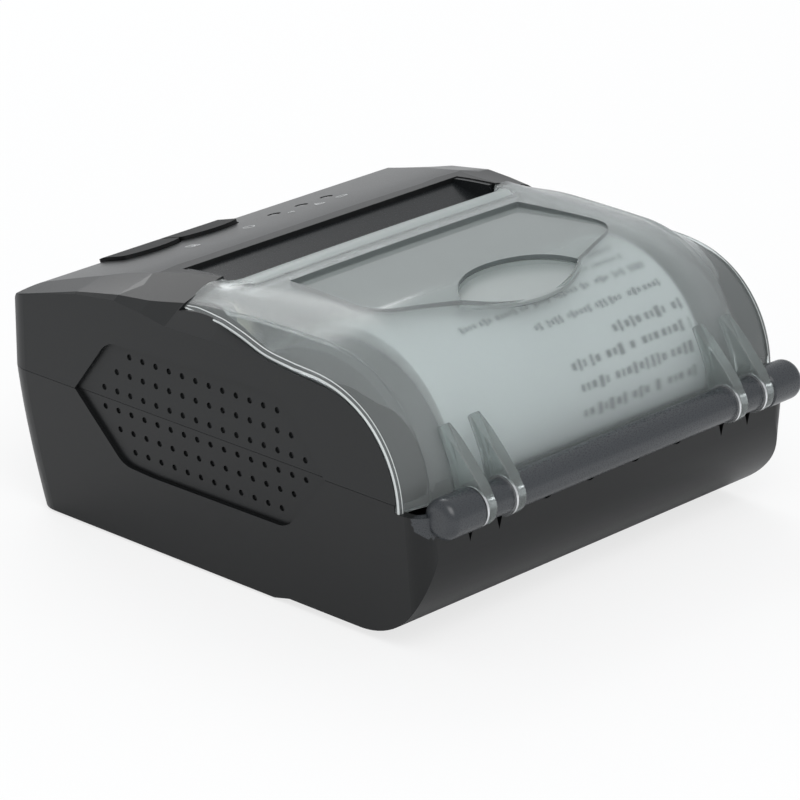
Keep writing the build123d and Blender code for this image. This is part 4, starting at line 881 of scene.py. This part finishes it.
# %% Metals, rubber, gears and the rest
pin_steel = finish("pin_steel", (0.55, 0.55, 0.56), 0.22, metal=1.0, grain=0.001,
                   grain_scale=TURNED_GRAIN, cloud=0.05)
screw_steel = finish("screw_steel", (0.42, 0.42, 0.43), 0.32, metal=1.0, grain=0.002, cloud=0.08)
head_aluminium = finish("head_aluminium", (0.66, 0.67, 0.68), 0.36, metal=1.0, grain=0.004, cloud=0.05)
head_ceramic = finish("head_ceramic", (0.72, 0.70, 0.64), 0.28, grain=0.001, cloud=0.04)
contact_brass = finish("contact_brass", (0.72, 0.50, 0.20), 0.26, metal=1.0, grain=0.001, cloud=0.06)
motor_can = finish("motor_can", (0.50, 0.50, 0.51), 0.34, metal=1.0, grain=0.003, cloud=0.07)
gear_ivory = finish("gear_ivory", (0.68, 0.64, 0.52), 0.42, grain=0.006, cloud=0.05)
roller_rubber = finish("roller_rubber", (0.018, 0.018, 0.018), 0.62, grain=0.010, grain_scale=5200.0)
foot_rubber = finish("foot_rubber", (0.014, 0.014, 0.014), 0.74, grain=0.020, grain_scale=4200.0)
cradle_grey = finish("cradle_grey", (0.040, 0.043, 0.045), 0.50, grain=0.001)
connector_white = finish("connector_white", (0.74, 0.73, 0.70), 0.45, grain=0.006, cloud=0.04)
cable_amber = finish("cable_amber", (0.52, 0.25, 0.05), 0.28, grain=0.002, cloud=0.12)
chip_black = finish("chip_black", (0.016, 0.016, 0.018), 0.52, grain=0.010, grain_scale=6000.0)
battery_grey = finish("battery_grey", (0.10, 0.115, 0.13), 0.38, grain=0.006, cloud=0.06)
core_brown = finish("core_brown", (0.36, 0.25, 0.15), 0.85, grain=0.050, grain_scale=1600.0, cloud=0.15)
lamp_white = finish("lamp_white", (0.78, 0.78, 0.72), 0.30, grain=0.001, cloud=0.03)
switch_metal = finish("switch_metal", (0.50, 0.50, 0.50), 0.38, metal=0.8, grain=0.003, cloud=0.05)
guide_dark = finish("guide_dark", (0.010, 0.010, 0.011), 0.12, grain=0.0005, cloud=0.05)
print(len(bpy.data.materials), "finishes so far")

# %% [markdown]
# Two finishes need a pattern of their own: rolled steel has streaks along one direction, and a
# circuit board shows its tracks faintly under the green mask. The paper is coated, so it is
# bright and almost without clouds.

# %% Brushed plate, circuit board and paper
STREAKS_PER_M = 60.0
TRACKS_PER_M = 420.0


def brushed(name, colour, rough, stretch):
    """Rolled steel: noise drawn out along one direction, in sheen and bump."""
    paint = finish(name, colour, rough, metal=1.0, grain=0.001, cloud=0.05)
    tree = paint.node_tree
    shader = tree.nodes["Principled BSDF"]
    place = tree.nodes.new("ShaderNodeTexCoord")
    pull = tree.nodes.new("ShaderNodeMapping")
    pull.inputs["Scale"].default_value = stretch
    streak = tree.nodes.new("ShaderNodeTexNoise")
    streak.inputs["Scale"].default_value = STREAKS_PER_M
    tree.links.new(place.outputs["Object"], pull.inputs["Vector"])
    tree.links.new(pull.outputs["Vector"], streak.inputs["Vector"])
    lines = streak.outputs["Fac"]
    tree.links.new(span(tree, lines, rough - 0.10, rough + 0.12), shader.inputs["Roughness"])
    tree.links.new(bump(tree, lines, 0.004, 0.5), shader.inputs["Normal"])
    return paint


def circuit_green():
    """Solder mask with faint darker tracks under it."""
    paint = finish("board_green", (0.012, 0.090, 0.040), 0.30, grain=0.002, cloud=0.10)
    tree = paint.node_tree
    shader = tree.nodes["Principled BSDF"]
    place = tree.nodes.new("ShaderNodeTexCoord")
    cells = tree.nodes.new("ShaderNodeTexBrick")
    cells.inputs["Scale"].default_value = TRACKS_PER_M
    cells.inputs["Mortar Size"].default_value = 0.045
    cells.inputs["Color1"].default_value = (0.010, 0.085, 0.038, 1)
    cells.inputs["Color2"].default_value = (0.012, 0.100, 0.045, 1)
    cells.inputs["Mortar"].default_value = (0.022, 0.150, 0.062, 1)
    tree.links.new(place.outputs["Object"], cells.inputs["Vector"])
    tree.links.new(cells.outputs["Color"], shader.inputs["Base Color"])
    return paint


frame_steel = brushed("frame_steel", (0.52, 0.52, 0.53), 0.34, (1.0, 40.0, 40.0))
blade_steel = brushed("blade_steel", (0.60, 0.60, 0.61), 0.26, (40.0, 1.0, 1.0))
board_green = circuit_green()
paper_white = finish("paper_white", (0.84, 0.85, 0.855), 0.58, grain=0.012, grain_scale=2600.0,
                     cloud=0.015, specular=0.35)
print("plate, board and paper ready")

# %% [markdown]
# Every node of the model has to be dressed. A table pairs each finish with the nodes that are
# made of it, and a loop swaps the imported material for ours, so a node that is forgotten
# shows up at once in the printed list. Two solids get a second finish on some of their
# faces: the hinge barrel is painted a paler grey than the case, a painted highlight for the
# rod's lit band, and the key panel's upward faces are a lighter black with more sheen, a painted sheen.

# %% Dress every node
FINISHES = {
    case_lower_painted_shade: ["lower_case", "battery_door"],
    case_black: ["upper_case"],
    bezel_gloss: ["exit_bezel"],
    blade_steel: ["tear_blade"],
    guide_dark: ["light_guides"],
    board_green: ["button_board", "main_board"],
    switch_metal: ["button_switches"],
    lamp_white: ["status_lamps"],
    key_black: ["feed_button", "power_button"],
    frosted: ["cover"],
    pin_steel: ["hinge_pins", "platen_shaft", "idler_pin", "motor_shaft", "head_pin"],
    inner_black: ["platen_holder", "paper_sensor", "buzzer"],
    gear_ivory: ["platen_bushes", "platen_gear", "idler_gear"],
    roller_rubber: ["platen_rubber"],
    contact_brass: ["motor_pinion", "battery_contacts"],
    motor_can: ["stepper_motor", "radio_module", "usb_socket"],
    screw_steel: ["motor_screw", "frame_screws", "board_screws", "case_screws", "head_springs"],
    frame_steel: ["mech_frame"],
    head_ceramic: ["print_head"],
    head_aluminium: ["head_plate"],
    cable_amber: ["head_cable"],
    connector_white: ["head_connector"],
    cradle_grey: ["paper_cradle"],
    paper_white: ["paper_roll", "paper_web"],
    core_brown: ["roll_core"],
    chip_black: ["board_chips", "power_jack"],
    battery_grey: ["battery_pack"],
    foot_rubber: ["rubber_feet"],
}

dressed = set()
for paint, names in FINISHES.items():
    for name in names:
        mesh = nodes[name].data
        mesh.materials.clear()
        mesh.materials.append(paint)
        for face in mesh.polygons:
            face.material_index = 0
        dressed.add(name)
print("nodes without a finish:", sorted(set(nodes) - dressed))

BARREL_REACH = 4.9
BARREL_FRONT_Y = 57.0
PANEL_REAR_Y = -29.0
PANEL_LEVEL = 0.9


def on_barrel(face):
    """Whether a face is part of the hinge barrel."""
    spot = face.center / MM
    reach = math.hypot(spot.y - HINGE_Y, spot.z - FEET - HINGE_Z)
    return reach < BARREL_REACH and spot.y > BARREL_FRONT_Y


def on_panel(face):
    """Whether a face is part of the sloping key panel."""
    return face.center.y / MM < PANEL_REAR_Y and face.normal.z > PANEL_LEVEL


# The barrel's faces get a painted highlight, and the panel's upward faces a painted sheen.
for name, paint, chosen in (("lower_case", barrel_painted_highlight, on_barrel), ("upper_case", panel_painted_sheen, on_panel)):
    mesh = nodes[name].data
    mesh.materials.append(paint)
    faces = [face for face in mesh.polygons if chosen(face)]
    for face in faces:
        face.material_index = SECOND_FINISH
    print(name, "faces with a second finish:", len(faces))

# %% [markdown]
# The roll carries a printed sample. Rows of small grey bars of uneven length make its lines,
# bent to the roll's surface and lifted from it by a hair. They ride with the roll, so they
# turn as the paper runs.

# %% Generic print on the roll
ROLL_Y = 24.4
ROLL_Z = 31.6
ROLL_R = 26.5
INK_LIFT = 0.03
# angle from the top towards the rear, height of the letters, first and last x
PRINT_ROWS = (
    (8.0, 1.5, -34.0, -3.0),
    (16.0, 1.5, -34.0, 10.0),
    (25.0, 1.9, -36.0, 22.0),
    (37.0, 1.9, -36.0, 4.0),
    (50.0, 2.6, -38.4, -16.0),
    (60.0, 2.6, -38.4, 0.0),
    (70.5, 2.6, -37.0, -0.8),
    (82.0, 2.6, -37.7, -0.3),
)
WORDS = (3.6, 6.2, 2.4, 5.0, 7.4, 3.0, 4.4)
WORD_GAP = 1.5
LETTER_W = 0.62
LETTER_LEAST = 0.55
LETTER_STEP = 0.12
LETTER_GAP = 0.28
LETTER_END = 0.3
LOW_LETTER = 0.62
PATCH_STEPS = 4


def roll_patch(verts, faces, x0, x1, angle, height):
    """One bar of ink, bent round the roll."""
    half = math.degrees(height / 2 / ROLL_R)
    r = ROLL_R + INK_LIFT
    base = len(verts)
    for s in range(PATCH_STEPS + 1):
        turn = math.radians(angle - half + 2 * half * s / PATCH_STEPS)
        for x in (x0, x1):
            verts.append(at(x, ROLL_Y + r * math.sin(turn), ROLL_Z + r * math.cos(turn)))
    for s in range(PATCH_STEPS):
        a = base + 2 * s
        faces.append((a, a + 2, a + 3, a + 1))


def make_print():
    """Rows of short bars that make the printed lines; their unevenness is the same each run."""
    verts, faces = [], []
    word = 0
    for angle, height, first, last in PRINT_ROWS:
        x = last
        while x > first:
            length = min(WORDS[word % len(WORDS)], x - first)
            letter = x
            while letter > x - length + LETTER_END:
                kind = (word * 7 + int(letter * 3)) % 4
                wide = LETTER_W * height * (LETTER_LEAST + LETTER_STEP * kind)
                tall = height * (LOW_LETTER if (word + int(letter * 5)) % 3 else 1.0)
                roll_patch(verts, faces, max(letter - wide, first), letter, angle, tall)
                letter -= wide + LETTER_GAP * height
            x -= length + WORD_GAP
            word += 1
    return mesh_object("roll_print", verts, faces)


ink = finish("roll_ink", (0.055, 0.058, 0.066), 0.6, grain=0.002, cloud=0.25)
roll_print = make_print()
dress(roll_print, ink, "roll", "paper_white")
print("ink bars:", len(roll_print.data.polygons))

# %% [markdown]
# Small white signs mark the keys and the lamps on the panel. We draw plain shapes that any such
# device has: a sheet with an arrow, a power ring, waves, a warning triangle and a cell. They
# are thin prints, so each is a flat mesh laid a tenth of a millimetre over the panel, and
# tilted like it.

# %% Panel signs
PANEL = ((-56.0, 53.0), (-42.2, 56.9), (-29.9, 59.8))
SIGN_LIFT = 0.11
SIGN_Y = -42.2
THIN = 0.26


def panel_height(y):
    """The panel's height over its middle, between the measured points."""
    for (y0, z0), (y1, z1) in zip(PANEL, PANEL[1:]):
        if y <= y1:
            return z0 + (z1 - z0) * (y - y0) / (y1 - y0)
    return PANEL[-1][1]


def flat_sign(name, x, *lines):
    """Thin lines, given by their points in millimetres, printed on the panel at one spot."""
    loops = [loop for line in lines for loop in stroke(line)]
    verts, faces = [], []
    for loop in loops:
        base = len(verts)
        for u, v in loop:
            y = SIGN_Y - v
            verts.append(at(x - u, y, panel_height(y) + SIGN_LIFT))
        faces.append(tuple(range(base, len(verts))))
    dress(mesh_object(name, verts, faces), sign_white, "printer_body", "case_black")


def stroke(points):
    """A thin line through points, as one loop a span."""
    loops = []
    for (x0, y0), (x1, y1) in zip(points, points[1:]):
        run = math.hypot(x1 - x0, y1 - y0)
        nx, ny = -(y1 - y0) / run * THIN / 2, (x1 - x0) / run * THIN / 2
        loops.append([(x0 + nx, y0 + ny), (x1 + nx, y1 + ny), (x1 - nx, y1 - ny), (x0 - nx, y0 - ny)])
    return loops


def arc_points(r, start, end, steps=18):
    """Points on an arc about the sign's middle, by degrees."""
    turns = [math.radians(start + (end - start) * i / steps) for i in range(steps + 1)]
    return [(r * math.cos(turn), r * math.sin(turn)) for turn in turns]


sign_white = finish("sign_white", (0.78, 0.79, 0.80), 0.5, grain=0.001, cloud=0.03)
flat_sign("sign_feed", 24.5, [(-1.1, -1.4), (-1.1, 1.2), (1.1, 1.2), (1.1, -1.4), (-1.1, -1.4)],
          [(0, -0.8), (0, 0.6)], [(-0.5, -0.3), (0, -0.9), (0.5, -0.3)])
flat_sign("sign_power", 7.1, arc_points(1.25, 120, 420), [(0, 0.3), (0, 1.5)])
flat_sign("sign_signal", -7.1, arc_points(1.3, 45, 135), arc_points(0.75, 45, 135), [(0, -0.2), (0, 0.2)])
flat_sign("sign_fault", -14.8, [(-1.2, -1.0), (1.2, -1.0), (0, 1.2), (-1.2, -1.0)], [(0, -0.4), (0, 0.4)])
flat_sign("sign_cell", -22.4, [(-1.3, -0.7), (1.1, -0.7), (1.1, 0.7), (-1.3, 0.7), (-1.3, -0.7)],
          [(1.4, -0.3), (1.4, 0.3)])
print("signs on the panel at y", SIGN_Y)
